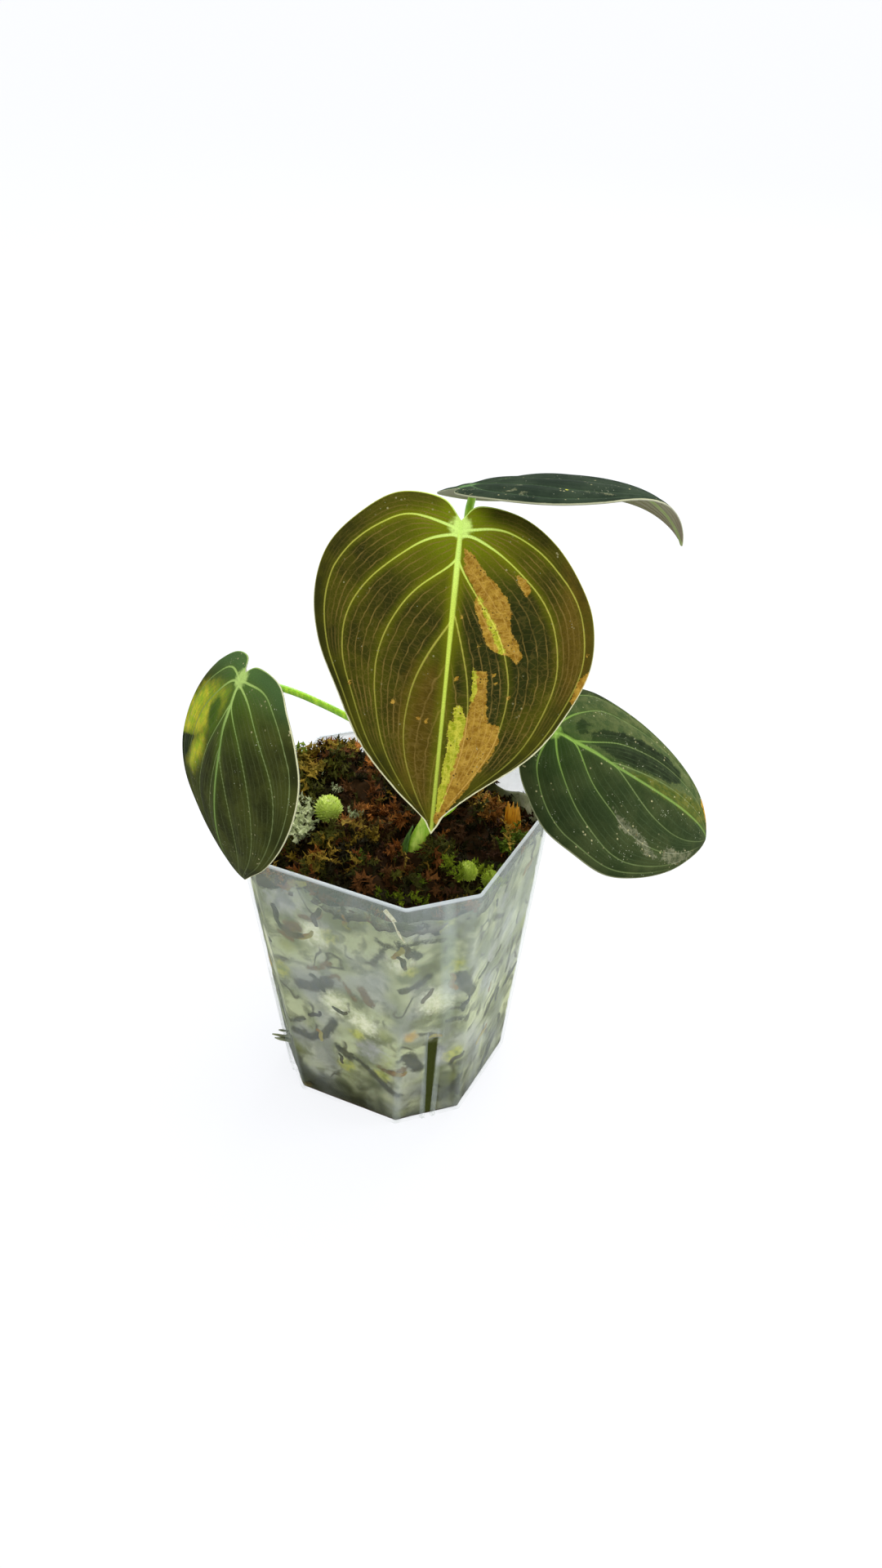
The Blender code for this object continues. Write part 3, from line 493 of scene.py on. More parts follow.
RIGHT_PALE = ((-1, 3), (-14, -1), (-25, 8), (-30, 20), (-29, 34), (-21, 50), (-9, 67), (-0.5, 70),
              (-0.3, 40), (-0.3, 12))
RIGHT_BLOT = ((-9.6, 7.8), (-9.2, 11.7), (-7.2, 10.0), (-5.4, 11.6), (-3.7, 9.4), (-4.4, 7.0), (-7, 6.6))
RIGHT_BAND = ((-2.6, 13), (-6.2, 12), (-10.5, 16), (-14.0, 22.5), (-16.2, 31.5), (-16.2, 41), (-13.4, 48),
              (-9.2, 48), (-6.1, 43), (-5.2, 37.2), (-3.9, 30.5), (-2.0, 24))
RIGHT_OCHRE = ((-0.3, 27), (-3.5, 33), (-4.6, 44), (-7.2, 56), (-7.6, 66), (-1.4, 68), (0.3, 56), (0.3, 40))
RIGHT_EDGE = ((-11.2, 62.2), (-8.2, 62), (-4.4, 67.6), (-2, 71), (-6.6, 71))
RIGHT_STREAK = ((14.0, 26), (15.2, 30), (16.2, 37.6), (18.3, 41.3), (20.2, 47), (21.4, 41), (18.6, 35.9),
                (18.4, 30.5))
RIGHT_SMEAR = ((19.5, 47.7), (14.9, 48.4), (13.0, 55.6), (9.2, 62), (13.6, 60.4), (18.2, 54.6))

TOP_FLECKS = flecks(((20.6, 6), (24, 9), (17, 9), (27, 29), (28, 34), (14, 20), (12, 40)), 0.45, 1.5)
TOP_LIME = flecks(((25, 22),), 0.4, 0.8)

FRONT_DEEP = ((-3, 15), (-9, 11), (-20, 16), (-27, 30), (-24, 48), (-13, 58), (-3, 46))
FRONT_RUST = ((2, 40), (9, 40), (14, 54), (10, 72), (1, 82))
FRONT_RUST_EDGE = ((-31, 8), (-38, 18), (-40, 36), (-33, 48), (-30, 28))

TOP_EDGE = ((0, -2), (7, -6.5), (15.7, -5.3), (24, 0.4), (30.3, 8.8), (33.4, 19), (32.7, 31.3), (28, 42.7),
            (20.6, 54.2), (10.8, 64.9), (0, 76.3))

FRONT_LOOK = Look(dark=(0.035, 0.035, 0.0050), light=(0.074, 0.071, 0.0055), bright=(0.195, 0.215, 0.004),
                  backlit_heart_glow=(0.74, 1.0, 0.24), rib=(0.72, 0.88, 0.12), vein=(0.50, 0.48, 0.075),
                  net=(0.25, 0.170, 0.042), rib_width=1.25, vein_strength=0.95, net_strength=0.75,
                  halo=0.75, speck=0.8, through=0.28, cream=1.1, knot=0.13, backlit_junction_glow=0.72)
LEFT_LOOK = Look(dark=(0.026, 0.030, 0.007), light=(0.056, 0.064, 0.013), bright=(0.085, 0.145, 0.016),
                 backlit_heart_glow=(0.45, 0.62, 0.17), rib=(0.24, 0.38, 0.095), vein=(0.23, 0.28, 0.11),
                 net=(0.10, 0.12, 0.045), rib_width=1.1, vein_strength=0.80, net_strength=0.5,
                 halo=0.40, speck=0.9, through=0.15, cream=0.2, knot=0.08, dust=0.03, backlit_junction_glow=0.50, lobe_tone_and_sheen=0.75)
RIGHT_LOOK = Look(dark=(0.021, 0.034, 0.010), light=(0.042, 0.056, 0.018), bright=(0.055, 0.105, 0.020),
                  backlit_heart_glow=(0.30, 0.50, 0.09), rib=(0.22, 0.35, 0.075), vein=(0.19, 0.25, 0.09),
                  net=(0.070, 0.105, 0.045), rib_width=0.9, vein_strength=0.75, net_strength=0.35,
                  halo=0.30, speck=1.0, through=0.12, knot=0.07, dust=0.06, backlit_junction_glow=0.25)
TOP_LOOK = Look(dark=(0.012, 0.022, 0.012), light=(0.026, 0.041, 0.022), bright=(0.03, 0.055, 0.020),
                backlit_heart_glow=(0.12, 0.22, 0.08), rib=(0.07, 0.12, 0.06), vein=(0.06, 0.10, 0.05),
                net=(0.045, 0.07, 0.04), rib_width=0.5, vein_strength=0.5, net_strength=0.2,
                halo=0.2, speck=1.0, through=0.08, knot=0.05, dust=0.04, backlit_junction_glow=0.2)

FRONT = Blade(
    "front", junction=(19.6, -15.3, 213.3), heading=-96.5, pitch=47, roll=-6, length=87.5,
    droop=14, tip_droop=6, folds=(-4, -4), curls=(14, 14), sway=0,
    left_edge=((0, -2), (6, -8), (18.5, -8.5), (29, -1.5), (37, 8.5), (39.5, 21.5), (37, 35.5),
               (30.5, 49), (22.5, 63.5), (12, 75), (3.2, 82.6), (1.2, 85.4), (0, 87.5)),
    right_edge=((0, -2), (5, -6.5), (17, -4.5), (27, 2), (35, 12), (40, 23), (40.5, 36.5),
                (35, 50), (26, 63), (11.5, 74.5), (3.8, 81.2), (1.8, 84.6), (0, 87.5)),
    petiole=((17.6, -13.4, 123.4), (21.6, -10, 138), (25.4, -6, 165), (24.2, -4.6, 190),
             (21.4, -6.6, 204)),
    petiole_radii=(1.5, 1.25, 1.1, 1.1, 1.2), look=FRONT_LOOK, veins=(WIDE_VEINS, SLIM_VEINS),
    margins=((0.45, 1.0), (0.50, 1.0)),
    patches=(("deep", FRONT_DEEP), ("rust", FRONT_RUST), ("rust", FRONT_RUST_EDGE), ("tan", TAN_UPPER),
             ("tan", TAN_LOWER), ("tan", TAN_FLECK), ("tan", TAN_MARGIN), ("lime", LIME_LOWER),
             ("lime", LIME_PRONG), ("lime", LIME_STREAK), *(("tan", fleck) for fleck in FRONT_FLECKS)))

LEFT = Blade(
    "left", junction=(-44.5, -20.1, 165.7), heading=-140, pitch=47, roll=8, length=74.5,
    droop=72, tip_droop=7, folds=(7, 0), curls=(2, 22), sway=-5.3,
    left_edge=((0, -2), (4.5, -6.5), (13, -5.5), (20.5, 1.5), (26.5, 10), (31, 21), (33, 33),
               (29.5, 44), (20, 53), (9, 63), (0, 74.5)),
    right_edge=((0, -2), (4.5, -5.5), (16, -5), (24.5, 1), (32, 9.5), (36, 19), (35.5, 31),
                (31, 43), (23, 54), (12, 63.5), (0, 74.5)),
    petiole=((10, -15.5, 117.2), (5, -16, 132), (-7.4, -16, 146), (-24.5, -16.5, 156.7),
             (-36, -17.4, 161.6)),
    petiole_radii=(1.4, 1.2, 1.1, 1.05, 1.1), look=LEFT_LOOK, veins=(SLIM_VEINS, WIDE_VEINS),
    margins=((0.6, 0.3), (0.08, 1.0)),
    patches=(("ochre", LEFT_OCHRE), ("ochre", LEFT_YELLOW), ("dark", LEFT_DARK), ("shade", LEFT_SPOT)))

RIGHT = Blade(
    "right", junction=(49.3, -10.5, 143.9), heading=-15.5, pitch=9, roll=26, length=74,
    droop=60, tip_droop=24, folds=(-3, 7), curls=(14, 35), sway=4.7,
    left_edge=((0, -2), (7.5, -6.5), (16.5, -5.5), (25, 0), (31.5, 8), (33.5, 18.5), (34, 30.5),
               (29.5, 41.5), (21.5, 53), (11.5, 63), (0, 74)),
    right_edge=((0, -2), (7, -6.5), (15, -5), (22.5, 0.5), (28, 8.5), (29.5, 18), (28.5, 29.5),
                (24.5, 40.5), (18, 52.5), (10.5, 63.5), (0, 74)),
    petiole=((18.9, -14.6, 117), (24, -11, 126), (33, -9, 134.5), (42, -9, 138.4)),
    petiole_radii=(1.4, 1.25, 1.1, 1.15), look=RIGHT_LOOK, veins=(WIDE_VEINS, SLIM_VEINS),
    margins=((0.0, 0.25), (0.5, 0.3)),
    patches=(("pale", RIGHT_PALE), ("dark", RIGHT_BLOT), ("dark", RIGHT_BAND), ("olive", RIGHT_OCHRE),
             ("tan", RIGHT_EDGE), ("grey", RIGHT_STREAK), ("grey", RIGHT_SMEAR)))

TOP = Blade(
    "top", junction=(21.7, 5.2, 216.8), heading=19.7, pitch=-6.5, roll=-25.6, length=76.3,
    droop=34, tip_droop=56, folds=(0.6, -9), curls=(32, 38), sway=0.3,
    left_edge=TOP_EDGE, right_edge=TOP_EDGE,
    petiole=((16.3, -10.2, 120), (18, -4, 146), (21.0, 1.5, 172), (21.9, 3.4, 196),
             (21.9, 3.2, 208)), seats=(0.4, 1.0, 3.0),
    petiole_radii=(1.5, 1.25, 1.1, 1.1, 1.2), look=TOP_LOOK, veins=(WIDE_VEINS, SLIM_VEINS),
    margins=((0.0, 0.6), (0.0, 0.6)),
    patches=(*(("grey", fleck) for fleck in TOP_FLECKS), *(("lime", fleck) for fleck in TOP_LIME)))

BLADES = (FRONT, LEFT, RIGHT, TOP)


def smooth_path(points, per_span=8):
    """A Catmull-Rom curve through points of any dimension, as an array."""
    points = [np.array(point, float) for point in points]
    guide = [2 * points[0] - points[1], *points, 2 * points[-1] - points[-2]]
    path = []
    for before, start, end, after in zip(guide, guide[1:], guide[2:], guide[3:]):
        for step in range(per_span):
            t = step / per_span
            path.append(0.5 * (2 * start + (end - before) * t
                               + (2 * before - 5 * start + 4 * end - after) * t ** 2
                               + (3 * start - before - 3 * end + after) * t ** 3))
    path.append(points[-1])
    return np.array(path)


def edge_samples(edge, shares):
    """Points of a blade's edge in mm, at shares of its length."""
    path = smooth_path(edge)
    travel = np.r_[0, np.cumsum(np.hypot(*np.diff(path, axis=0).T))]
    wanted = shares * travel[-1]
    return np.interp(wanted, travel, path[:, 0]), np.interp(wanted, travel, path[:, 1])


def blade_frame(blade):
    """Side, forward and upward directions of the blade at its junction."""
    heading, pitch, roll = (math.radians(x) for x in (blade.heading, blade.pitch, blade.roll))
    forward = Vector((math.cos(heading) * math.cos(pitch), math.sin(heading) * math.cos(pitch),
                      -math.sin(pitch)))
    level_up = Vector((math.cos(heading) * math.sin(pitch), math.sin(heading) * math.sin(pitch),
                       math.cos(pitch)))
    up = level_up * math.cos(roll) + forward.cross(level_up) * math.sin(roll)
    return forward.cross(up), forward, up


def midrib_bend(blade, along):
    share = along / blade.length
    tip_share = np.maximum(share, 0.0) ** TIP_DROOP_POWER
    return math.radians(blade.droop) * share + math.radians(blade.tip_droop) * tip_share


def blade_points(blade, out, along, lift):
    """Places on the bent blade in metres, for arrays in mm; lift is off its upper face."""
    side, forward, up = (np.array(axis) for axis in blade_frame(blade))
    left = out >= 0
    fold = np.where(left, *(math.radians(angle) for angle in blade.folds))
    curve = np.where(left, *(math.radians(angle) for angle in blade.curls)) / (CURL_SPAN * blade.length)
    turn = fold + curve * np.abs(out)
    across = (np.sin(turn) - np.sin(fold)) / curve + lift * np.sin(turn)
    drop = (np.cos(fold) - np.cos(turn)) / curve - lift * np.cos(turn)
    steps = (np.arange(BEND_STEPS) + 0.5) / BEND_STEPS
    angles = midrib_bend(blade, along[..., None] * steps)
    ahead = along * np.cos(angles).mean(-1)
    rise = -along * np.sin(angles).mean(-1)
    bend = midrib_bend(blade, along)
    sway = blade.sway * np.sin(np.pi * np.clip(along / blade.length, 0, 1))
    sideways = np.where(left, across, -across) + sway
    places = (np.array(blade.junction) + sideways[..., None] * side
              + (ahead - drop * np.sin(bend))[..., None] * forward
              + (rise - drop * np.cos(bend))[..., None] * up)
    return places * MM


def vein_phase(paths, across, shares):
    """A whole number on each main vein: 0 at the edge, 1 on the outermost vein and so on inward."""
    phase = np.zeros((len(shares), len(across)))
    curves = [smooth_path(path) for path in paths]
    starts = [path[0][0] for path in paths]
    for row, share in enumerate(shares):
        middle = float(np.interp(share, [0.0, *starts, 1.0], range(len(paths) + 2)))
        knots = [(0.0, middle)]
        for number in range(len(paths), 0, -1):
            if share > starts[number - 1]:
                curve = curves[number - 1]
                knots.append((max(float(np.interp(share, curve[:, 0], curve[:, 1])), 1e-3), number))
        knots.append((1.0, 0.0))
        knots.sort()
        phase[row] = np.interp(across, [k[0] for k in knots], [k[1] for k in knots])
    return phase


def phase_pitch(phase, out, along):
    """How many mm the phase takes to change by one, square to the veins."""
    slopes = [np.gradient(values) for values in (phase, out, along)]
    (phase_t, phase_a), (out_t, out_a), (along_t, along_a) = slopes
    area = out_a * along_t - out_t * along_a
    area = np.where(np.abs(area) < 1e-6, 1e-6, area)
    slope_out = (phase_a * along_t - phase_t * along_a) / area
    slope_along = (phase_t * out_a - phase_a * out_t) / area
    return np.clip(1 / np.maximum(np.hypot(slope_out, slope_along), 1e-6), 0.3, 16)


def inside_distance(polygon, out, along):
    """Distance inside a flat outline in mm, less than zero outside it."""
    best = np.full(out.shape, np.inf)
    inside = np.zeros(out.shape, bool)
    for (x0, y0), (x1, y1) in zip(polygon, polygon[1:] + polygon[:1]):
        dx, dy = x1 - x0, y1 - y0
        reach = np.clip(((out - x0) * dx + (along - y0) * dy) / (dx * dx + dy * dy), 0, 1)
        best = np.minimum(best, np.hypot(out - x0 - reach * dx, along - y0 - reach * dy))
        if dy:
            crosses = (along < y0) != (along < y1)
            inside ^= crosses & (out < x0 + (along - y0) * dx / dy)
    return np.where(inside, best, -best)


def smooth_step(value, low, high):
    share = np.clip((value - low) / (high - low), 0, 1)
    return share * share * (3 - 2 * share)


PATCH_KINDS = ("deep", "rust", "pale", "olive", "ochre", "shade", "dark", "grey", "tan", "lime")


def blade_fields(blade):
    """Everything that the blade's mesh carries at each grid point, and its upper and lower faces."""
    across = np.linspace(-1, 1, 2 * BLADE_COLUMNS + 1)
    shares = np.linspace(0, 1, BLADE_ROWS + 1)
    left_x, left_y = edge_samples(blade.left_edge, shares)
    right_x, right_y = edge_samples(blade.right_edge, shares)
    a, t = np.meshgrid(across, shares)
    weight = np.abs(a)
    edge_x = np.where(a >= 0, left_x[:, None], right_x[:, None])
    edge_y = np.where(a >= 0, left_y[:, None], right_y[:, None])
    notch = blade.left_edge[0][1]
    middle = notch + (blade.length - notch) * t
    out = edge_x * a
    along = edge_y * weight + middle * (1 - weight)
    reach = np.hypot(edge_x, edge_y - middle)

    half = across[BLADE_COLUMNS:]
    left_phase = vein_phase(blade.veins[0], half, shares)
    right_phase = vein_phase(blade.veins[1], half, shares)
    phase = np.concatenate([right_phase[:, :0:-1], left_phase], axis=1)
    pitch = phase_pitch(phase, out, along)

    off_vein = np.abs(phase - np.round(phase)) * pitch
    off_midrib = weight * reach
    ends = np.sin(np.pi * np.clip(t, 0, 1)) ** 0.7
    groove = (1 - smooth_step(off_vein, 0, GROOVE_WIDTH / MM)) * ends
    keel = (1 - smooth_step(off_midrib, 0, KEEL_WIDTH - KEEL_NARROWING * t)) * (1 - 0.8 * t)
    swell = np.sin(np.pi * (phase - np.floor(phase))) ** 2 * np.clip(pitch / 8, 0, 1.3) * ends
    upper = (QUILT_SWELL * swell - GROOVE_DEPTH * groove - MIDRIB_GROOVE * keel) / MM
    thickness = (MARGIN_THICKNESS + (BLADE_THICKNESS - MARGIN_THICKNESS) * (1 - weight ** 6)) / MM
    lower = upper - thickness - (MIDRIB_KEEL * keel + 0.6 * GROOVE_DEPTH * groove) / MM

    starts = np.where(a >= 0, blade.margins[0][0], blade.margins[1][0])
    strength = np.where(a >= 0, blade.margins[0][1], blade.margins[1][1])
    rim = strength * smooth_step(t, starts - 0.08, starts + 0.12)
    fields = {"phase": phase, "pitch": pitch, "across": a, "share": t, "reach": reach, "rim": rim}
    for kind in PATCH_KINDS:
        gaps = [inside_distance(outline, out, along) for name, outline in blade.patches if name == kind]
        fields[kind] = np.maximum.reduce([np.full(out.shape, FAR_OUTSIDE), *gaps])
    return fields, out, along, blade_points(blade, out, along, upper), blade_points(blade, out, along, lower)


def grid_vertices(values):
    """The values at the notch, the inner rows and the tip, in the order of the mesh's vertices."""
    return np.concatenate([values[:1, 0], values[1:-1].reshape(-1, *values.shape[2:]), values[-1:, 0]])


def store(mesh, name, values):
    """Keeps a number for each vertex of a mesh, for its finish to read."""
    mesh.attributes.new(name, "FLOAT", "POINT").data.foreach_set("value", values)


def blade_mesh(blade):
    """The blade as a closed mesh: upper face, lower face and the margin that joins them."""
    fields, out, along, upper, lower = blade_fields(blade)
    points = np.concatenate([grid_vertices(upper), grid_vertices(lower)])
    width = 2 * BLADE_COLUMNS + 1
    rows = BLADE_ROWS - 1
    count = 2 + rows * width
    tip = count - 1
    last = 1 + (rows - 1) * width
    top = []
    for i in range(width - 1):
        top.append((0, 1 + i, 2 + i))
        top.append((last + i + 1, last + i, tip))
        for row in range(rows - 1):
            start = 1 + row * width + i
            top.append((start, start + width, start + width + 1, start + 1))
    border = [0, *(1 + row * width for row in range(rows)), tip,
              *(row * width for row in range(rows, 0, -1))]
    under = [tuple(count + index for index in reversed(face)) for face in top]
    rim = rim_faces(border, count)
    mesh = bpy.data.meshes.new("leaf_" + blade.name)
    mesh.from_pydata(points.tolist(), [], top + under + rim)
    mesh.update()
    parts = [0] * len(top) + [1] * len(under) + [2] * len(rim)
    mesh.polygons.foreach_set("material_index", parts)
    for name, values in fields.items():
        flat = grid_vertices(values)
        store(mesh, name, np.concatenate([flat, flat]).astype(np.float32))
    flat = grid_vertices(np.stack([out * MM, along * MM, np.zeros(out.shape)], -1))
    layer = mesh.attributes.new("flat", "FLOAT_VECTOR", "POINT")
    layer.data.foreach_set("vector", np.concatenate([flat, flat]).astype(np.float32).ravel())
    up = blade_frame(blade)[2]
    if sum(face.normal.dot(up) for face in mesh.polygons[:len(top)]) < 0:
        mesh.flip_normals()
    mesh.shade_smooth()
    return mesh


def add_piece(name, data):
    """Adds an object with its mesh, lamp or lens to the scene."""
    piece = bpy.data.objects.new(name, data)
    bpy.context.scene.collection.objects.link(piece)
    return piece


# Pieces in the order in which they are made: the object, its slot and the solids that it stands for
made = []


def keep(name, mesh, finishes, slot, *nodes):
    """Adds a finished mesh to the scene and lists it as a piece."""
    for finish in finishes:
        mesh.materials.append(finish)
    made.append((add_piece(name, mesh), slot, nodes))


# Colours of the patches on a blade: two that mottle, how torn the edge is, how soft it is in mm
ZONES = (
    ("deep", (0.022, 0.026, 0.005), (0.036, 0.040, 0.007), 5.0, 3.0),
    ("rust", (0.090, 0.060, 0.006), (0.120, 0.080, 0.009), 5.0, 3.5),
    ("pale", (0.044, 0.070, 0.021), (0.100, 0.120, 0.040), 3.4, 0.4),
    ("olive", (0.046, 0.068, 0.008), (0.115, 0.120, 0.018), 3.4, 1.2),
    ("ochre", (0.33, 0.46, 0.024), (0.60, 0.55, 0.036), 2.6, 3.6),
    ("shade", (0.045, 0.085, 0.008), (0.075, 0.13, 0.012), 2.5, 1.8),
    ("dark", (0.012, 0.019, 0.007), (0.022, 0.032, 0.012), 2.4, 0.5),
)
PATCHES = (
    ("grey", (0.044, 0.057, 0.024), (0.150, 0.155, 0.085), 4.2, 0.3),
    ("tan", (0.27, 0.135, 0.012), (0.50, 0.30, 0.042), 1.8, 0.12),
    ("lime", (0.30, 0.34, 0.012), (0.60, 0.56, 0.055), 2.0, 0.14),
)


LOBE_TONE_AND_SHEEN = (0.075, 0.150, 0.045)
PIT_BROWN = (0.10, 0.06, 0.012)
SPECK_CREAM = (0.40, 0.37, 0.19)
DOT_GREY = (0.46, 0.48, 0.34)
RIM_CREAM = (0.80, 0.78, 0.48)
FINE_VEINS = 5.0
NET_RUNGS = 70.0


def patch(work, flat, colour, lines, zone):
    """Lays one kind of patch over a colour, with paler lines where veins cross it."""
    kind, first, second, tear, soft = zone
    mask = torn(work, flat, kind, tear, soft)
    mottle = work.noise(flat, 260.0 if lines is None else 520.0, 5.0, 0.68)
    mottled = work.blend(mottle, 0.36, 0.64, first, second)
    if lines is not None:
        pale = tuple(min(1.0, 1.35 * value + 0.05) for value in second)
        mottled = work.mix(work.times(lines, 0.7), mottled, pale)
        pits = work.fall(work.voronoi(flat, 900.0), 0.16, 0.30)
        some = work.remap(work.noise(flat, 260.0, 2.0), 0.52, 0.60)
        mottled = work.mix(work.times(pits, some), mottled, PIT_BROWN)
    return work.mix(mask, colour, mottled)


def off_midrib_and_edge(work):
    """Distances on the blade from its midrib and from its edge, in mm."""
    out, reach = work.absolute(work.attribute("across")), work.attribute("reach")
    return work.times(out, reach), work.times(work.minus(1.0, out), reach)


def vein_masks(work, flat, near, knot):
    """Masks of the main veins, the painted glow round them that stands for light shining through the
    blade from behind, the finer veins and the net, and where that glow may show. near is 1 at the
    junction, where the main veins are wider by the knot, in mm."""
    phase, pitch, share = (work.attribute(name) for name in ("phase", "pitch", "share"))
    _, from_edge = off_midrib_and_edge(work)

    def lines(places, count, width, soft):
        return work.group(VEIN_LINES, {"Phase": places, "Pitch": pitch, "Count": count,
                                       "Width": width, "Soft": soft})

    inner = work.remap(from_edge, 0.8, 8.0, 0.08, 1.0)
    wavy = work.plus(phase, work.times(work.wobble(flat, 260.0, 2.0), 0.10))
    width = work.plus(work.remap(share, 0.0, 1.0, 0.10, 0.03, smooth=False), work.times(near, knot))
    blur = work.plus(0.24, work.times(near, 0.16))
    strong = work.times(lines(phase, 1.0, width, blur), work.remap(pitch, 0.5, 2.2))
    # Painted glow round the main veins, standing for light that shines through the blade from behind.
    halo = work.times(lines(phase, 1.0, 0.0, 2.5), work.times(work.remap(pitch, 1.0, 3.0), inner))
    broken = work.remap(work.noise(flat, 150.0, 2.0), 0.36, 0.60, 0.30, 1.0)
    fine = work.times(lines(wavy, FINE_VEINS, 0.04, 0.22), broken, work.remap(pitch, 2.2, 5.5),
                      work.remap(from_edge, 0.5, 9.0, 0.10, 1.0))
    rungs = work.node("ShaderNodeCombineXYZ", {0: work.times(wavy, FINE_VEINS),
                                               1: work.times(share, NET_RUNGS)})
    net = work.voronoi(rungs.outputs[0], 1.0, "DISTANCE_TO_EDGE", 0.9)
    net = work.times(work.fall(net, 0.0, 0.08), work.remap(pitch, 2.5, 6.5))
    return strong, halo, fine, net, inner


def panel_colour(work, flat, look, from_junction, inner):
    """The velvet between the veins: its patches, a painted glow round the junction that stands for light
    shining through the blade from behind, and paler, greener lobes behind it, partly their own tone and
    partly painted velvet sheen.
    """
    broad = work.noise(flat, 70.0, 3.0, 0.6)
    colour = work.blend(broad, 0.38, 0.64, look.dark, look.light)
    for zone in ZONES:
        colour = patch(work, flat, colour, None, zone)
    # Painted glow: the panels round the junction are lightened as if lit through from behind.
    backlit_junction_glow = tuple(gain * value for gain, value in zip((1.2, 1.42, 1.0), look.bright))
    around = work.mix(work.fall(from_junction, 3 * MM, 16 * MM), look.bright, backlit_junction_glow)
    ring = work.largest(inner, work.fall(from_junction, 5 * MM, 13 * MM))
    spread = work.times(work.remap(from_junction, 2 * MM, 30 * MM, look.backlit_junction_glow, 0.0), ring)
    colour = work.mix(spread, colour, around)
    # The lobes behind the junction turn greener and paler: partly their own tone, partly painted velvet
    # sheen.
    lobes = work.remap(work.part(flat, 1), 9 * MM, -4 * MM, 0.0, look.lobe_tone_and_sheen)
    return work.mix(lobes, colour, LOBE_TONE_AND_SHEEN)


def with_specks(work, flat, colour, look):
    """Pale specks and finer dots, in drifts."""
    cells = work.voronoi(flat, 520.0)
    drifts = work.remap(work.noise(flat, 75.0, 3.0, 0.7), 0.56 - look.dust, 0.66 - look.dust)
    speck = work.times(work.fall(cells, 0.10, 0.20), drifts)
    colour = work.mix(work.times(speck, look.speck), colour, SPECK_CREAM)
    dots = work.fall(work.voronoi(flat, 1300.0), 0.10, 0.22)
    drifts = work.remap(work.noise(flat, 130.0, 3.0, 0.7), 0.60 - look.dust, 0.68 - look.dust)
    return work.mix(work.times(dots, drifts, look.speck), colour, DOT_GREY)


def upper_finish(name, look):
    """Velvet upper side: panels between veins, main and fine veins, patches, specks and margin, with a
    painted glow round the veins, the midrib and the junction that stands for light shining through the blade
    from behind.
    """
    work = Finish(name, look.dark, 0.75, 0.03)
    flat, share = work.attribute("flat", "Vector"), work.attribute("share")
    from_midrib, from_edge = off_midrib_and_edge(work)
    from_junction = work.node("ShaderNodeVectorMath", {0: flat}, operation="LENGTH").outputs["Value"]
    near = work.fall(from_junction, 2 * MM, 36 * MM)
    nearest = work.fall(from_junction, 2 * MM, 19 * MM)
    strong, halo, fine, net, inner = vein_masks(work, flat, nearest, look.knot)
    colour = panel_colour(work, flat, look, from_junction, inner)

    # Painted glow round the main veins, weaker far from the junction.
    far_glow = tuple(0.6 * low + 0.4 * high for low, high in zip(look.light, look.bright))
    glow_colour = work.mix(work.fall(from_junction, 4 * MM, 50 * MM), far_glow, look.bright)
    glow_far = work.remap(from_junction, 8 * MM, 62 * MM, 0.9, 0.40)
    colour = work.mix(work.times(halo, glow_far, look.halo), colour, glow_colour)
    lower = work.remap(share, 0.35, 0.9, 0.22, 0.50)
    colour = work.mix(work.times(net, lower, look.net_strength), colour, look.net)
    colour = work.mix(work.times(fine, look.net_strength), colour, look.net)

    rib_width = work.remap(share, 0.0, 0.55, look.rib_width, 0.34 * look.rib_width)
    rib = work.fall(from_midrib, work.times(rib_width, 0.5), work.plus(rib_width, 0.35))
    # Painted glow along the midrib.
    glow = work.fall(from_midrib, rib_width, work.plus(rib_width, 3.2))
    glow = work.times(glow, work.remap(share, 0.1, 0.9, 0.95, 0.40))
    colour = work.mix(work.times(glow, look.halo), colour, look.bright)
    fade = work.times(work.remap(share, 0.15, 0.95, 1.0, 0.55),
                      work.remap(from_junction, 20 * MM, 60 * MM, 1.0, 0.8))
    # Near the junction the veins take the colour of the painted glow there.
    vein_colour = work.mix(nearest, work.mix(near, look.vein, look.rib), look.backlit_heart_glow)
    colour = work.mix(work.times(strong, work.times(fade, look.vein_strength)), colour, vein_colour)
    rib_strength = work.remap(share, 0.3, 1.0, look.vein_strength, 0.6 * look.vein_strength)
    colour = work.mix(work.times(rib, rib_strength), colour, look.rib)
    # Painted glow at the core of the junction and along the top of the midrib.
    frayed = work.plus(from_junction, work.times(work.wobble(flat, 620.0, 4.0), 4 * MM))
    core = work.remap(frayed, 1.8 * MM, 4.0 * MM, 0.95, 0.0)
    top_rib = work.times(work.fall(from_midrib, 0.2, 1.5), work.remap(share, 0.05, 0.34, 0.95, 0.0))
    colour = work.mix(work.largest(core, top_rib), colour, look.backlit_heart_glow)

    lines = work.largest(strong, work.times(fine, 0.6), work.times(net, 0.45))
    for zone in PATCHES:
        colour = patch(work, flat, colour, lines, zone)
    colour = with_specks(work, flat, colour, look)
    ragged = work.times(work.noise(flat, 300.0, 3.0), work.remap(share, 0.5, 0.95, 0.25, look.cream))
    margin = work.fall(from_edge, work.plus(-0.05, ragged), work.plus(0.30, ragged))
    colour = work.mix(work.times(margin, work.attribute("rim")), colour, RIM_CREAM)
    work.paint(grained(work, colour, flat, 0.40), look.through)
    velvet = work.noise(flat, 4200.0, 2.0, 0.6)
    height = work.minus(work.times(velvet, 0.35), work.times(lines, 0.6))
    work.bump(height, 0.35, 0.25 * MM)
    return work.material


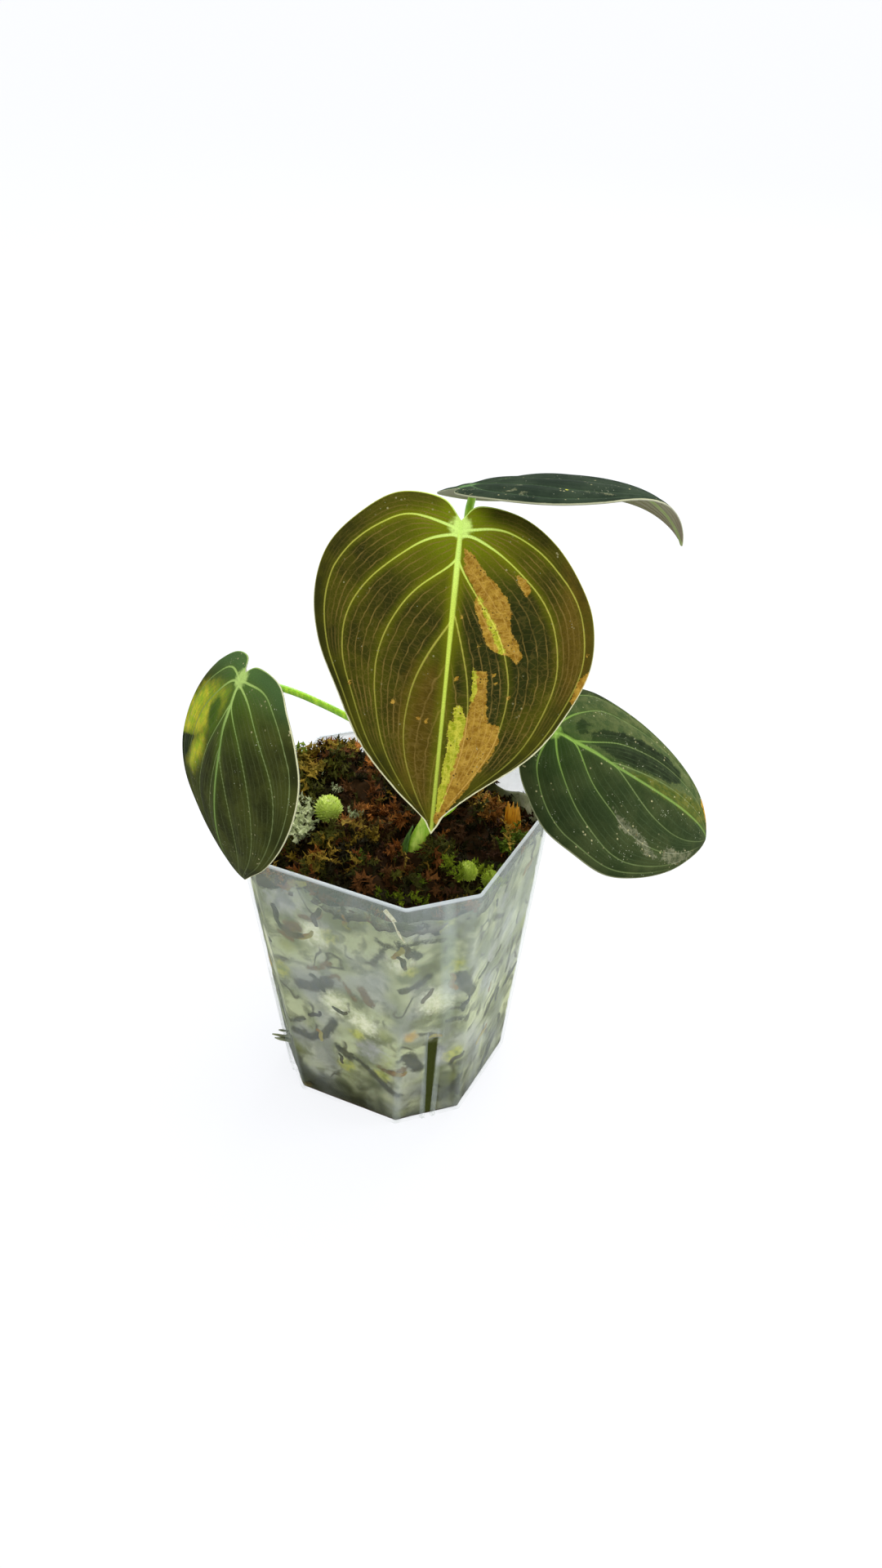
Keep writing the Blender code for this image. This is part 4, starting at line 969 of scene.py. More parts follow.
def under_finish(name, look):
    """Pale lower side with raised veins, browner towards a drooping tip."""
    work = Finish(name, (0.2, 0.22, 0.1), 0.55, 0.25)
    flat, share = work.attribute("flat", "Vector"), work.attribute("share")
    strong, _, fine, net, _ = vein_masks(work, flat, 0.0, 0.0)
    base = work.mix(work.noise(flat, 90.0, 3.0), (0.20, 0.21, 0.10), (0.31, 0.32, 0.18))
    base = work.mix(work.remap(share, 0.6, 1.0, 0.0, 0.6), base, (0.26, 0.17, 0.11))
    base = work.mix(work.times(net, 0.25), base, (0.36, 0.38, 0.2))
    base = work.mix(work.times(fine, 0.4), base, (0.36, 0.38, 0.2))
    base = work.mix(work.times(strong, 0.7), base, (0.46, 0.52, 0.24))
    from_midrib, _ = off_midrib_and_edge(work)
    base = work.mix(work.remap(from_midrib, 0.8, 1.5, 0.85, 0.0), base, (0.42, 0.52, 0.20))
    base = grained(work, base, flat, 0.2)
    work.paint(base)
    work.let_through(work.mix(0.5, base, look.bright), look.through + 0.08)
    work.bump(work.plus(strong, work.times(fine, 0.4)), 0.4, 0.3 * MM)
    return work.material


def margin_finish():
    """The thin pale rim of a blade."""
    work = Finish("blade_margin", (0.50, 0.52, 0.34), 0.5)
    flat = work.attribute("flat", "Vector")
    work.paint(work.mix(work.noise(flat, 260.0, 3.0), (0.40, 0.44, 0.22), (0.66, 0.64, 0.50)), 0.35)
    return work.material


# Meshes and stalks

STALK_SIDES = 20


def mesh_of(name, points, faces):
    """A mesh whose faces all point outward."""
    mesh = bpy.data.meshes.new(name)
    mesh.from_pydata([tuple(point) for point in points], [], faces)
    work = bmesh.new()
    work.from_mesh(mesh)
    bmesh.ops.recalc_face_normals(work, faces=work.faces)
    work.to_mesh(mesh)
    work.free()
    return mesh


def rim_faces(border, count):
    """Faces that join two equal outlines, the second of which is counted on by that many points."""
    return [(b, a, count + a, count + b) for a, b in zip(border, border[1:] + border[:1])]


def merge(name, shapes):
    """One mesh of several (points, faces) pairs."""
    points, faces = [], []
    for more_points, more_faces in shapes:
        start = len(points)
        points += more_points
        faces += [tuple(start + index for index in face) for face in more_faces]
    return mesh_of(name, points, faces)


def tube_shape(path, radii, sides):
    """Points and faces of a closed round tube along a path of vectors in metres."""
    points, faces = [], []
    side = None
    for index, here in enumerate(path):
        ahead = path[min(index + 1, len(path) - 1)] - path[max(index - 1, 0)]
        ahead.normalize()
        side = ahead.orthogonal() if side is None else side - ahead * side.dot(ahead)
        side.normalize()
        other = ahead.cross(side)
        for k in range(sides):
            angle = 2 * math.pi * k / sides
            points.append(here + (side * math.cos(angle) + other * math.sin(angle)) * radii[index])
    for ring in range(len(path) - 1):
        for k in range(sides):
            low, high, after = ring * sides, (ring + 1) * sides, (k + 1) % sides
            faces.append((low + k, low + after, high + after, high + k))
    last = (len(path) - 1) * sides
    faces += [tuple(range(sides))[::-1], tuple(last + k for k in range(sides))]
    return points, faces


def guided_tube(path, radii, sides, per_span=10):
    """A tube along a smooth curve through points in mm, with a radius in mm at each."""
    curve = smooth_path([(*point, radius) for point, radius in zip(path, radii)], per_span)
    return tube_shape([mm(row[:3]) for row in curve.tolist()], (curve[:, 3] * MM).tolist(), sides)


def stem_centre(height):
    """The middle of the stem at a height, in mm."""
    curve = smooth_path(STEM_PATH)
    return [float(np.interp(height, curve[:, 2], curve[:, axis])) for axis in (0, 1)] + [height]


def stalk_mesh(blade):
    """A stalk from inside the stem into the keel under its blade."""
    foot_radius, tip_radius = blade.petiole_radii[0], blade.petiole_radii[-1]
    depths = np.array([-2.2 * tip_radius - 0.9, -1.9, -1.6])
    seats = blade_points(blade, np.zeros(3), np.array(blade.seats), depths) / MM
    path = [stem_centre(blade.petiole[0][2] - 3.5), *blade.petiole, *seats.tolist()]
    radii = [1.25 * foot_radius, *blade.petiole_radii, tip_radius, 1.05 * tip_radius, 0.6]
    mesh = mesh_of("stalk_" + blade.name, *guided_tube(path, radii, STALK_SIDES))
    mesh.shade_smooth()
    return mesh


def streaked(work, squash, scale, low, high, first, second, detail=3.0, roughness=0.6):
    """Two colours in streaks along Z: the colour, and the streaks for the bump."""
    streaks = work.streaks(squash, scale, detail, roughness)
    return work.blend(streaks, low, high, first, second), streaks


def stalk_finish():
    """Bright green, slightly striped along its length and see-through at the edges."""
    work = Finish("stalk_green", (0.20, 0.44, 0.05), 0.38)
    colour, stripes = streaked(work, 0.12, 900.0, 0.35, 0.7, (0.22, 0.50, 0.010), (0.44, 0.74, 0.03))
    blotch = work.remap(work.noise(work.place(), 120.0, 2.0), 0.5, 0.75, 0.0, 0.4)
    work.paint(work.mix(blotch, colour, (0.50, 0.80, 0.09)))
    work.set("Subsurface Weight", 0.15)
    work.set("Subsurface Scale", 1.2 * MM)
    work.bump(stripes, 0.2, 0.1 * MM)
    return work.material


def make_leaves():
    stalk, margin = stalk_finish(), margin_finish()
    for blade in BLADES:
        finishes = (upper_finish("velvet_" + blade.name, blade.look),
                    under_finish("underside_" + blade.name, blade.look), margin)
        keep("blade_" + blade.name, blade_mesh(blade), finishes, "leaf", "leaf_" + blade.name)
        keep("stalk_" + blade.name, stalk_mesh(blade), [stalk], "petiole", "petiole_" + blade.name)


# Pot

def pot_half_width(height):
    return BASE_HALF_WIDTH + (RIM_HALF_WIDTH - BASE_HALF_WIDTH) * height / POT_HEIGHT


def pot_reach(angles, heights, inset=0.0):
    """Distance from the axis to the pot's outer face, for arrays of angles and heights."""
    half = pot_half_width(heights)
    cut = BASE_CORNER_CUT + (RIM_CORNER_CUT - BASE_CORNER_CUT) * heights / POT_HEIGHT
    turn = (angles - POT_TURN + math.pi / 4) % (math.pi / 2) - math.pi / 4
    corner = (2 * half - cut) / math.sqrt(2) - inset
    flat_reach = (half - inset) / np.cos(turn)
    corner_reach = corner / np.cos(math.pi / 4 - np.abs(turn))
    return np.minimum(flat_reach, corner_reach)


def keep_inside_pot(mesh, inset):
    """Squeezes what would poke through the wall back against its inner face."""
    points = np.empty(len(mesh.vertices) * 3)
    mesh.vertices.foreach_get("co", points)
    points = points.reshape(-1, 3)
    reach = np.hypot(points[:, 0], points[:, 1])
    limit = pot_reach(np.arctan2(points[:, 1], points[:, 0]), np.clip(points[:, 2], 0, POT_HEIGHT), inset)
    squeeze = np.where(reach > limit, limit / np.maximum(reach, 1e-9), 1.0)
    points[:, :2] *= squeeze[:, None]
    points[:, 2] = np.maximum(points[:, 2], WALL + inset)
    mesh.vertices.foreach_set("co", points.ravel())
    mesh.update()


def turned_square(work, place, turn):
    """Distances from the pot's axis along both directions of a turned square, and the height."""
    turned = work.node("ShaderNodeMapping", {"Vector": place, "Rotation": (0, 0, -turn)})
    split = work.node("ShaderNodeSeparateXYZ", {0: turned.outputs[0]}).outputs
    return work.absolute(split[0]), work.absolute(split[1]), split[2]


def fold_mask(work, place):
    """Near the eight upright folds of the wall."""
    along, across, height = turned_square(work, place, POT_TURN)
    flat_foot = BASE_HALF_WIDTH - BASE_CORNER_CUT
    flat_rim = RIM_HALF_WIDTH - RIM_CORNER_CUT
    flat = work.remap(height, 0.0, POT_HEIGHT, flat_foot, flat_rim, smooth=False)
    off = work.absolute(work.minus(work.math("MINIMUM", along, across), flat))
    return work.fall(off, 0.0, 2.6 * MM)


def rib_mask(work, place, near, far):
    """Near the slit in each cut corner, up to the top of its ribs."""
    along, across, height = turned_square(work, place, POT_TURN + math.pi / 4)
    aside = work.fall(work.math("MINIMUM", along, across), near, far)
    return work.times(aside, work.fall(height, RIB_HEIGHT - MM, RIB_HEIGHT + 0.5 * MM))


def painted_fold_highlight(work, place):
    """The whitish band along the fold at the right of the foremost cut corner: a painted highlight where the
    light from the right falls.
    """
    split = work.node("ShaderNodeSeparateXYZ", {0: place}).outputs
    lean = work.remap(split[2], 0.0, POT_HEIGHT, -33.0 * MM, -47.1 * MM, smooth=False)
    aside = work.minus(split[0], 18.5 * MM)
    ahead = work.minus(split[1], lean)
    off = work.math("SQRT", work.plus(work.times(aside, aside), work.times(ahead, ahead)))
    return work.times(work.fall(off, 0.0, 5.5 * MM), work.remap(split[2], 30 * MM, 75 * MM, 0.2, 1.0))


def plastic_finish():
    """Thin frosted plastic: a milky veil over what lies behind it, whiter at the rim and folds, with painted
    light on its right side and a painted highlight on the fold at the right of the foremost cut corner.
    """
    work = Finish("frosted_plastic", (0.74, 0.78, 0.80), 0.33)
    place = work.place()
    height = work.part(place, 2)
    rim = work.remap(height, POT_HEIGHT - 1.6 * MM, POT_HEIGHT - 0.3 * MM)
    cloud = work.noise(place, 60.0, 3.0, 0.6)
    scratches = work.streaks(0.08, 900.0, 4.0, 0.7)
    upper = work.plus(work.remap(height, 5 * MM, 80 * MM, 0.02, 0.12),
                      work.remap(height, 88 * MM, 101 * MM, 0.0, 0.06))
    veil = work.plus(upper, work.times(work.minus(cloud, 0.5), 0.14))
    veil = work.plus(veil, work.times(work.remap(scratches, 0.60, 0.75), 0.05))
    # Painted light: the right side is made milkier in faint upright streaks, where the light from the right
    # falls on it.
    painted_side_light = work.remap(work.part(place, 0), 20 * MM, 32 * MM, 0.0, 0.12)
    side_light_streaks = work.remap(work.streaks(0.35, 130.0), 0.36, 0.62, 0.35, 1.0)
    veil = work.plus(veil, work.times(painted_side_light, side_light_streaks))
    ribs = work.minus(rib_mask(work, place, 2.2 * MM, 3.4 * MM), rib_mask(work, place, 1.0 * MM, 1.5 * MM))
    # The marks: the rim, the folds, the painted highlight on one fold, and the ribs.
    marks = work.largest(work.times(rim, 0.60), work.times(fold_mask(work, place), 0.12),
                         work.times(painted_fold_highlight(work, place), 0.32), work.times(ribs, 0.15))
    colour = work.blend(cloud, 0.4, 0.65, (0.56, 0.65, 0.54), (0.69, 0.77, 0.74))
    work.paint(work.mix(rim, colour, (0.80, 0.86, 0.88)))
    work.set("Alpha", work.math("MAXIMUM", veil, marks, clamp=True))
    work.set("Roughness", work.remap(cloud, 0.3, 0.7, 0.26, 0.42))
    work.bump(scratches, 0.12, 0.1 * MM)
    return work.material


def make_pot():
    """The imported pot, merged and smoothed, in frosted plastic."""
    mesh = bpy.data.objects["pot"].data.copy()
    mesh.name = "pot_shell"
    work = bmesh.new()
    work.from_mesh(mesh)
    bmesh.ops.remove_doubles(work, verts=work.verts, dist=MERGE_DISTANCE)
    work.to_mesh(mesh)
    work.free()
    mesh.materials.clear()
    mesh.shade_smooth()
    mesh.set_sharp_from_angle(angle=SHARP_FOLD)
    keep("pot_shell", mesh, [plastic_finish()], "pot_plastic", "pot")


# Moss

# Where the loose moss lies higher or lower than the plug: x, y, spread and rise in mm
MOSS_SHIFTS = ((37, 20, 9, -12.0), (6, -21.5, 5, 3.6))


def near_spot(x, y, spot_x, spot_y, spread):
    """1 at a spot, and less the further a place is from it."""
    return math.exp(-((x - spot_x) ** 2 + (y - spot_y) ** 2) / spread ** 2)


def plug_level(x, y):
    """Height of the moss at a place in the pot, as on the plug."""
    reach = min(1.0, math.hypot(x, y) / RIM_HALF_WIDTH)
    heap = near_spot(x, y, *(place * MM for place in MOSS_HEAP_PLACE), MOSS_HEAP_SPREAD)
    lumps = noise.noise(Vector((x, y, 0.3 * MOSS_LUMP_PITCH)) / MOSS_LUMP_PITCH)
    fine = noise.noise(Vector((x, y, MOSS_LUMP_PITCH)) / (MOSS_FINE_PITCH * MOSS_LUMP_PITCH))
    dome = MOSS_WALL_LEVEL + MOSS_DOME * (1 - reach ** 4) + MOSS_HEAP * heap
    return dome + MOSS_LUMP * (lumps + MOSS_FINE_LUMP * fine)


def moss_level(x, y):
    """Height of the loose moss on the plug."""
    return plug_level(x, y) + sum(rise * near_spot(x / MM, y / MM, *spot) for *spot, rise in MOSS_SHIFTS) * MM


def moss_clump(x, y):
    """Rounded cushions a few mm wide with gaps between them: how near the crown, and a draw for each."""
    distances, seeds = noise.voronoi(Vector((x, y, 0.02)) / CLUMP_PITCH)
    crown = min(1.0, max(0.0, (0.62 - distances[0]) / 0.5))
    return crown * crown * (3 - 2 * crown), noise.cell(seeds[0] * 31.7)


def bed_rings():
    """Rings of the moss bed from the pot's floor to the middle of its top."""
    angles = np.arange(BED_SIDES) * 2 * math.pi / BED_SIDES
    floor = WALL + 0.4 * MM
    waves = [noise.noise(Vector((3 * math.cos(a), 3 * math.sin(a), 0))) for a in angles]
    brims = BED_BRIM + BED_BRIM_WAVE * np.array(waves)
    rings = []
    for level in range(BED_SIDE_LEVELS + 1):
        heights = floor + (brims - floor) * level / BED_SIDE_LEVELS
        reach = pot_reach(angles, heights, BED_INSET)
        ring = [Vector((r * math.cos(a), r * math.sin(a), h)) for r, a, h in zip(reach, angles, heights)]
        for place in ring:
            swell = noise.noise(place / BED_NOISE_PITCH) + 0.6 * noise.noise(place / (3 * BED_NOISE_PITCH))
            place.xy *= 1 - WALL_ROUGHNESS * max(0.0, swell) / RIM_HALF_WIDTH
        rings.append(ring)
    reach = pot_reach(angles, np.full(BED_SIDES, BED_BRIM), BED_INSET)
    for step in range(BED_TOP_RINGS):
        share = 1 - (step + 0.25) / BED_TOP_RINGS
        ring = []
        for r, a in zip(reach, angles):
            x, y = share * r * math.cos(a), share * r * math.sin(a)
            tuft = noise.noise(Vector((x, y, 0.05)) / BED_NOISE_PITCH)
            clump = CLUMP_HEIGHT * (moss_clump(x, y)[0] - 0.5) * min(1.0, 6 * (1 - share))
            ring.append(Vector((x, y, moss_level(x, y) + 2 * BED_ROUGHNESS * tuft + clump)))
        rings.append(ring)
    return rings


# Bare of strands: x, y and radius in mm
STEM_CLEARING = (6.0, -17.2, 3.0)
CHIP_CLEARING = (CHIP_FOOT[0] - 2, CHIP_FOOT[1] - 6, 6.0)

# Where golden and green moss shows between the brown: x, y and spread in mm, and how much of it
GOLD_PLACES = ((-25, -18, 12, 1.0), (-34, 4, 9, 0.9), (-28, 22, 10, 0.8), (38, 2, 8, 0.9), (-8, -13, 8, 0.6))
GREEN_PLACES = ((25, -26, 11, 1.0), (0, -38, 6, 0.5), (38, -10, 7, 0.7), (-13, -25, 9, 0.7),
                (-31, 14, 6, 0.5))
# Where the moss lies in shade: x, y, spread in mm, and how much. There the strands grow thinner and are
# painted darker.
SHADE_PLACES = ((-3, -33, 9, 0.75), (13, -31, 6, 0.6), (9, -10, 6, 0.6), (-12, 6, 7, 0.5))


def moss_share(place, spots):
    """How much of one colour the moss has at a place, from the spots where it grows."""
    return max(amount * near_spot(place.x / MM, place.y / MM, *spot) for *spot, amount in spots)


def growth(place):
    """How thickly each kind of strand grows at a place of the bed's top, from 0 to 1."""
    crown, draw = moss_clump(place.x, place.y)
    gold, green = moss_share(place, GOLD_PLACES), moss_share(place, GREEN_PLACES)
    # Painted shade: the shade places lower the crown, so fewer strands grow there and those that do are
    # painted darker.
    crown *= 1 - moss_share(place, SHADE_PLACES)
    thick = (0.35 + 0.65 * crown) * clear_ground(place)
    is_green = draw < green
    is_gold = not is_green and draw > 1 - gold
    return {"brown": thick * (0.25 if is_green or is_gold else 1.0), "tan": thick * (0.08 + 0.92 * is_gold),
            "olive": thick * (0.04 + 0.96 * is_green), "crown": crown, "hue": draw}


# Marks where the moss presses on the wall, by kind: half the width in mm, then the places that it
# runs through as a turn in degrees and a height in mm. The other sides repeat those in front.
WALL_MARKS = {
    "cream": ((5.0, (-125, 80)), (4.5, (-119, 50)), (5.5, (-70, 59)), (4.0, (-86, 80)), (4.5, (-103, 45))),
    "mauve": ((6.0, (-139, 91)), (5.0, (-100, 33)), (4.5, (-111, 99)), (5.0, (-80, 95)), (4.5, (-35, 64)),
              (4.0, (-39, 54)), (3.5, (-68, 31)), (4.0, (-30, 85))),
    "yellow": ((2.8, (-118, 81)), (3.4, (-69, 95)), (2.0, (-82, 76)), (2.8, (-63, 74)), (3.4, (-145, 58)),
               (1.8, (-99, 94)), (2.8, (-115, 21)), (3.0, (-94, 23)), (2.4, (-107, 39)), (3.4, (-59, 30))),
    "orange": ((2.2, (-81, 44)),),
    "brown": ((1.1, (-131, 86), (-126, 86), (-121, 90)), (2.4, (-137, 80), (-134, 80)),
              (1.0, (-142, 76), (-137, 74)), (0.8, (-101, 96), (-99, 95), (-95, 97)),
              (0.8, (-131, 63), (-125, 65), (-119, 69)), (1.8, (-103, 61), (-99, 56)),
              (0.8, (-120, 62), (-116, 64), (-111, 60), (-107, 55)), (1.3, (-95, 26), (-89, 25), (-84, 28))),
    "dark": ((0.8, (-95, 87), (-92, 85), (-86, 86)), (0.8, (-92, 84), (-96, 77)), (1.6, (-86, 88), (-79, 82)),
             (0.8, (-82, 88), (-75, 88), (-69, 87)), (1.3, (-85, 67), (-79, 68), (-74, 72)),
             (2.3, (-136, 54), (-129, 55), (-121, 60)), (1.1, (-149, 34), (-142, 35), (-137, 37)),
             (1.7, (-143, 30), (-135, 29), (-126, 33), (-120, 41)),
             (2.3, (-61, 69), (-58, 64), (-52, 57)), (1.0, (-64, 48), (-58, 48), (-54, 47)),
             (1.7, (-119, 29), (-113, 26)), (1.2, (-111, 27), (-101, 23), (-94, 18), (-86, 14)),
             (3.4, (-133, 5), (-120, 1), (-106, 2)),
             (2.4, (-82, 34), (-77, 27)), (2.0, (-54, 17), (-58, 12)),
             (1.2, (-7, 55), (-9, 45)), (1.6, (-18, 40), (-31, 34)), (2.2, (-13, 12), (-26, 3)),
             (1.0, (-38, 81), (-27, 77))),
}
FRONT_TURNS = (-155, 12)
MARK_RISE = 31
MARK_SPAN = 92


def repeated_marks(lines):
    """The marks of one kind on all four sides, moved up the wall from side to side."""
    for half_width, *spots in lines:
        for quarter in range(CORNER_COUNT):
            turns = [(turn + 90 * quarter + 180) % 360 - 180 for turn, _ in spots]
            rise = (spots[0][1] + MARK_RISE * quarter) % MARK_SPAN - spots[0][1] if quarter else 0
            if quarter == 0 or not any(FRONT_TURNS[0] < turn < FRONT_TURNS[1] for turn in turns):
                yield half_width, [(turn, height + rise) for turn, (_, height) in zip(turns, spots)]


def mark_gaps(points, lines):
    """How far inside a mark of one kind each point is, in mm, and less than zero outside them."""
    gaps = np.full(len(points), FAR_OUTSIDE)
    for half_width, spots in repeated_marks(lines):
        turns = np.radians([turn for turn, _ in spots])
        heights = np.clip([height * MM for _, height in spots], 0, POT_HEIGHT)
        reach = pot_reach(turns, heights, BED_INSET)
        path = np.stack([reach * np.cos(turns), reach * np.sin(turns), heights], -1)
        for start, end in zip(path, path[1:] if len(path) > 1 else path):
            span = end - start
            along = np.clip((points - start) @ span / max(span @ span, 1e-12), 0, 1)
            distance = np.linalg.norm(points - start - along[:, None] * span, axis=1)
            gaps = np.maximum(gaps, half_width - distance / MM)
    return gaps


def make_bed():
    """The moss plug's body: blotchy where it presses on the wall, dark between the strands on top."""
    rings = bed_rings()
    points = [Vector((0, 0, rings[0][0].z))]
    for ring in rings:
        points += ring
    points.append(Vector((0, 0, moss_level(0, 0))))
    faces = []
    for i in range(BED_SIDES):
        j = (i + 1) % BED_SIDES
        faces.append((0, 1 + j, 1 + i))
        for number in range(len(rings) - 1):
            low, high = 1 + number * BED_SIDES, 1 + (number + 1) * BED_SIDES
            faces.append((low + i, low + j, high + j, high + i))
        last = 1 + (len(rings) - 1) * BED_SIDES
        faces.append((last + i, last + j, len(points) - 1))
    mesh = bpy.data.meshes.new("moss_bed")
    mesh.from_pydata([tuple(point) for point in points], [], faces)
    mesh.update()
    first_top = 1 + (BED_SIDE_LEVELS + 1) * BED_SIDES
    kinds = {kind: [] for kind in ("brown", "tan", "olive", "crown", "hue", "wall")}
    for index, point in enumerate(points):
        on_top = index >= first_top
        dense = growth(point) if on_top else {"wall": float(index > BED_SIDES)}
        for kind, values in kinds.items():
            values.append(dense.get(kind, 0.0))
    places = np.array([tuple(point) for point in points])
    for kind, lines in WALL_MARKS.items():
        kinds["mark_" + kind] = mark_gaps(places, lines)
    for kind, values in kinds.items():
        store(mesh, kind, values)
    mesh.shade_smooth()
    return mesh


def slit_mask(work, place):
    """Behind the slit in each cut corner."""
    along, across, height = turned_square(work, place, POT_TURN + math.pi / 4)
    half = work.remap(height, 0.0, SLIT_HEIGHT, 0.8 * MM, 1.7 * MM, smooth=False)
    aside = work.fall(work.math("MINIMUM", along, across), half, work.plus(half, 1.1 * MM))
    return work.times(aside, work.fall(height, SLIT_HEIGHT - 4 * MM, SLIT_HEIGHT + MM))


# Colours of the marks on the wall: two that mottle, how torn and how soft in mm, and how strong
MARK_COLOURS = (
    ("cream", (0.64, 0.66, 0.38), (0.80, 0.80, 0.56), 5.0, 3.0, 0.92),
    ("mauve", (0.27, 0.28, 0.25), (0.36, 0.36, 0.35), 6.0, 3.4, 0.70),
    ("yellow", (0.20, 0.23, 0.020), (0.42, 0.43, 0.06), 4.0, 1.9, 0.85),
    ("orange", (0.34, 0.20, 0.02), (0.52, 0.34, 0.05), 2.6, 1.2, 0.90),
    ("brown", (0.090, 0.056, 0.010), (0.165, 0.105, 0.026), 2.4, 0.6, 0.95),
    ("dark", (0.016, 0.017, 0.004), (0.050, 0.048, 0.012), 2.8, 0.7, 0.96),
)


def bed_finish():
    """Damp moss seen through the wall: cream and grey-green blotches, darker towards the floor."""
    work = Finish("moss_bed", (0.12, 0.09, 0.04), 0.95, 0.15)
    place = work.place()
    broad = work.noise(place, 80.0, 2.0, 0.5, 0.3)
    side = work.blend(broad, 0.36, 0.62, (0.16, 0.18, 0.070), (0.43, 0.46, 0.25))
    grey = work.noise(place, 62.0, 2.0, 0.5)
    side = work.mix(work.remap(grey, 0.48, 0.68, 0.0, 0.55), side, (0.29, 0.29, 0.26))
    second = work.noise(work.stretch(place, (1.0, 1.0, 1.3)), 130.0, 3.0, 0.55, 0.5)
    side = work.mix(work.remap(second, 0.48, 0.66, 0.0, 0.62), side, (0.080, 0.083, 0.022))
    ridge = work.absolute(work.wobble(place, 64.0, 2.0, 0.5, 0.4))
    some = work.remap(work.noise(place, 105.0, 1.0), 0.46, 0.60)
    smudge = work.times(work.fall(ridge, 0.006, 0.045), some)
    side = work.mix(work.times(smudge, 0.85), side, (0.046, 0.040, 0.010))
    lively = work.remap(work.noise(place, 42.0, 1.0), 0.46, 0.58)
    spots = work.times(work.fall(work.voronoi(place, 80.0), 0.12, 0.45), lively)
    side = work.mix(work.times(spots, 0.5), side, (0.28, 0.31, 0.04))
    for kind, first, second, tear, soft, strength in MARK_COLOURS:
        mask = torn(work, place, "mark_" + kind, tear, soft)
        paint = work.blend(work.noise(place, 420.0, 3.0, 0.6), 0.36, 0.64, first, second)
        side = work.mix(work.times(mask, strength), side, paint)
    depth = work.plus(work.part(place, 2), work.times(work.minus(broad, 0.5), 40 * MM))
    side = work.mix(work.remap(depth, -2 * MM, 30 * MM, 0.98, 0.0), side, (0.020, 0.021, 0.007))
    side = work.mix(slit_mask(work, place), side, (0.030, 0.038, 0.002))
    fine = work.noise(place, 700.0, 4.0, 0.65)
    top = work.mix(fine, (0.012, 0.005, 0.001), (0.050, 0.022, 0.004))
    colour = work.mix(work.attribute("wall"), top, side)
    work.paint(grained(work, colour, place, 0.4, 2200.0))
    work.bump(fine, 0.6, 0.5 * MM)
    return work.material


# Painted shade: the colour of strands deep in the gaps between clumps.
PAINTED_GAP_SHADE = (0.010, 0.004, 0.001)


def strand_finish(name, first, second, tip, through, clump_hue_and_gap_shade=False):
    """One colour of moss. Each strand has its own tint, and strands in the gaps of clumps get painted shade.
    """
    work = Finish(name, first, 0.85, 0.2)
    colour = work.mix(work.remap(work.attribute("tint"), 0.1, 0.9, smooth=False), first, second)
    clumps = work.noise(work.place(), 150.0, 2.0)
    colour = work.blend(clumps, 0.40, 0.60, colour, tip)
    if clump_hue_and_gap_shade:
        rich = work.blend(work.attribute("hue"), 0.2, 0.9, first, second)
        # Painted shade: the lower a strand sits in the gaps between clumps, the darker it is made.
        gaps = work.remap(work.attribute("crown"), 0.05, 0.85, 0.85, 0.0)
        colour = work.mix(gaps, work.mix(0.35, rich, colour), PAINTED_GAP_SHADE)
    work.paint(colour, through)
    return work.material


STRAND_RADIUS = 0.22 * MM
TUFT_SPANS = 4
# Frizzy strands by kind: a seed for each shape, then length, leaflets, their length and width, and curl
TUFT_SHAPES = {
    "tuft": (range(4), (0.0085, 13, 0.0042, 0.0019, 0.9)),
    "shag": (range(9, 13), (0.0100, 13, 0.0036, 0.0015, 1.2)),
}
LOOSE_TUFT = (0.0080, 13, 0.0036, 0.0017, 0.7)
WORM_SEEDS = range(20, 30)
WORM_LENGTH = 0.0090
WORM_RADIUS = 0.0014
WORM_SPANS = 9
WORM_FLATNESS = 0.7
TINT_SEED = 77


def tuft_strand(seed, length, leaflets, leaf_length, leaf_width, curl):
    """Points and faces of a frizzy strand that starts at the origin and grows along +Z."""
    draw = random.Random(seed)
    spans = TUFT_SPANS
    heading = draw.uniform(0, 2 * math.pi)
    lean = toward(heading)
    twist = Vector((-lean.y, lean.x, 0)) * draw.uniform(-0.5, 0.5)
    spine = []
    for index in range(spans + 1):
        share = index / spans
        rise = Vector((0, 0, share * (1 - 0.25 * curl * share)))
        spine.append((rise + (lean + twist * share) * (curl * share ** 2 * 0.6)) * length)
    radii = [STRAND_RADIUS * (1 - 0.7 * index / spans) for index in range(spans + 1)]
    points, faces = tube_shape(spine, radii, 3)
    for number in range(leaflets):
        share = (number + 0.6) / leaflets
        span = min(int(share * spans), spans - 1)
        centre = spine[span].lerp(spine[span + 1], share * spans - span)
        spin = 2.4 * number + draw.uniform(-0.5, 0.5)
        outward = Vector((math.cos(spin), math.sin(spin), draw.uniform(0.1, 1.1))).normalized()
        across = outward.cross(UP).normalized() * (leaf_width / 2)
        thick = across.cross(outward).normalized() * (leaf_width * 0.18)
        tip = centre + outward * (leaf_length * draw.uniform(0.7, 1.2) * (1.1 - 0.5 * share))
        tip += Vector((0, 0, draw.uniform(-0.3, 0.35))) * leaf_length
        start = len(points)
        points += [centre - across, centre + across, centre + thick, tip]
        faces += [(start, start + 1, start + 3), (start + 1, start + 2, start + 3),
                  (start + 2, start, start + 3), (start + 1, start, start + 2)]
    return points, faces


def worm_strand(seed, length, radius):
    """A flattened wavy thread in the XY plane, as the strands that lie against the wall."""
    draw = random.Random(seed)
    bend = draw.uniform(-1.7, 1.7)
    wave = draw.uniform(0.1, 0.6)
    spot, spine, radii = Vector((-length / 2, 0, 0)), [], []
    for index in range(WORM_SPANS + 1):
        share = index / WORM_SPANS
        heading = bend * (share - 0.5) + wave * math.sin(2 * math.pi * share * 1.5)
        spine.append(spot.copy())
        radii.append(radius * (0.35 + 0.65 * math.sin(math.pi * (0.08 + 0.84 * share))))
        spot = spot + toward(heading) * (length / WORM_SPANS)
    points, faces = tube_shape(spine, radii, 5)
    for point in points:
        point.z *= WORM_FLATNESS
    return points, faces


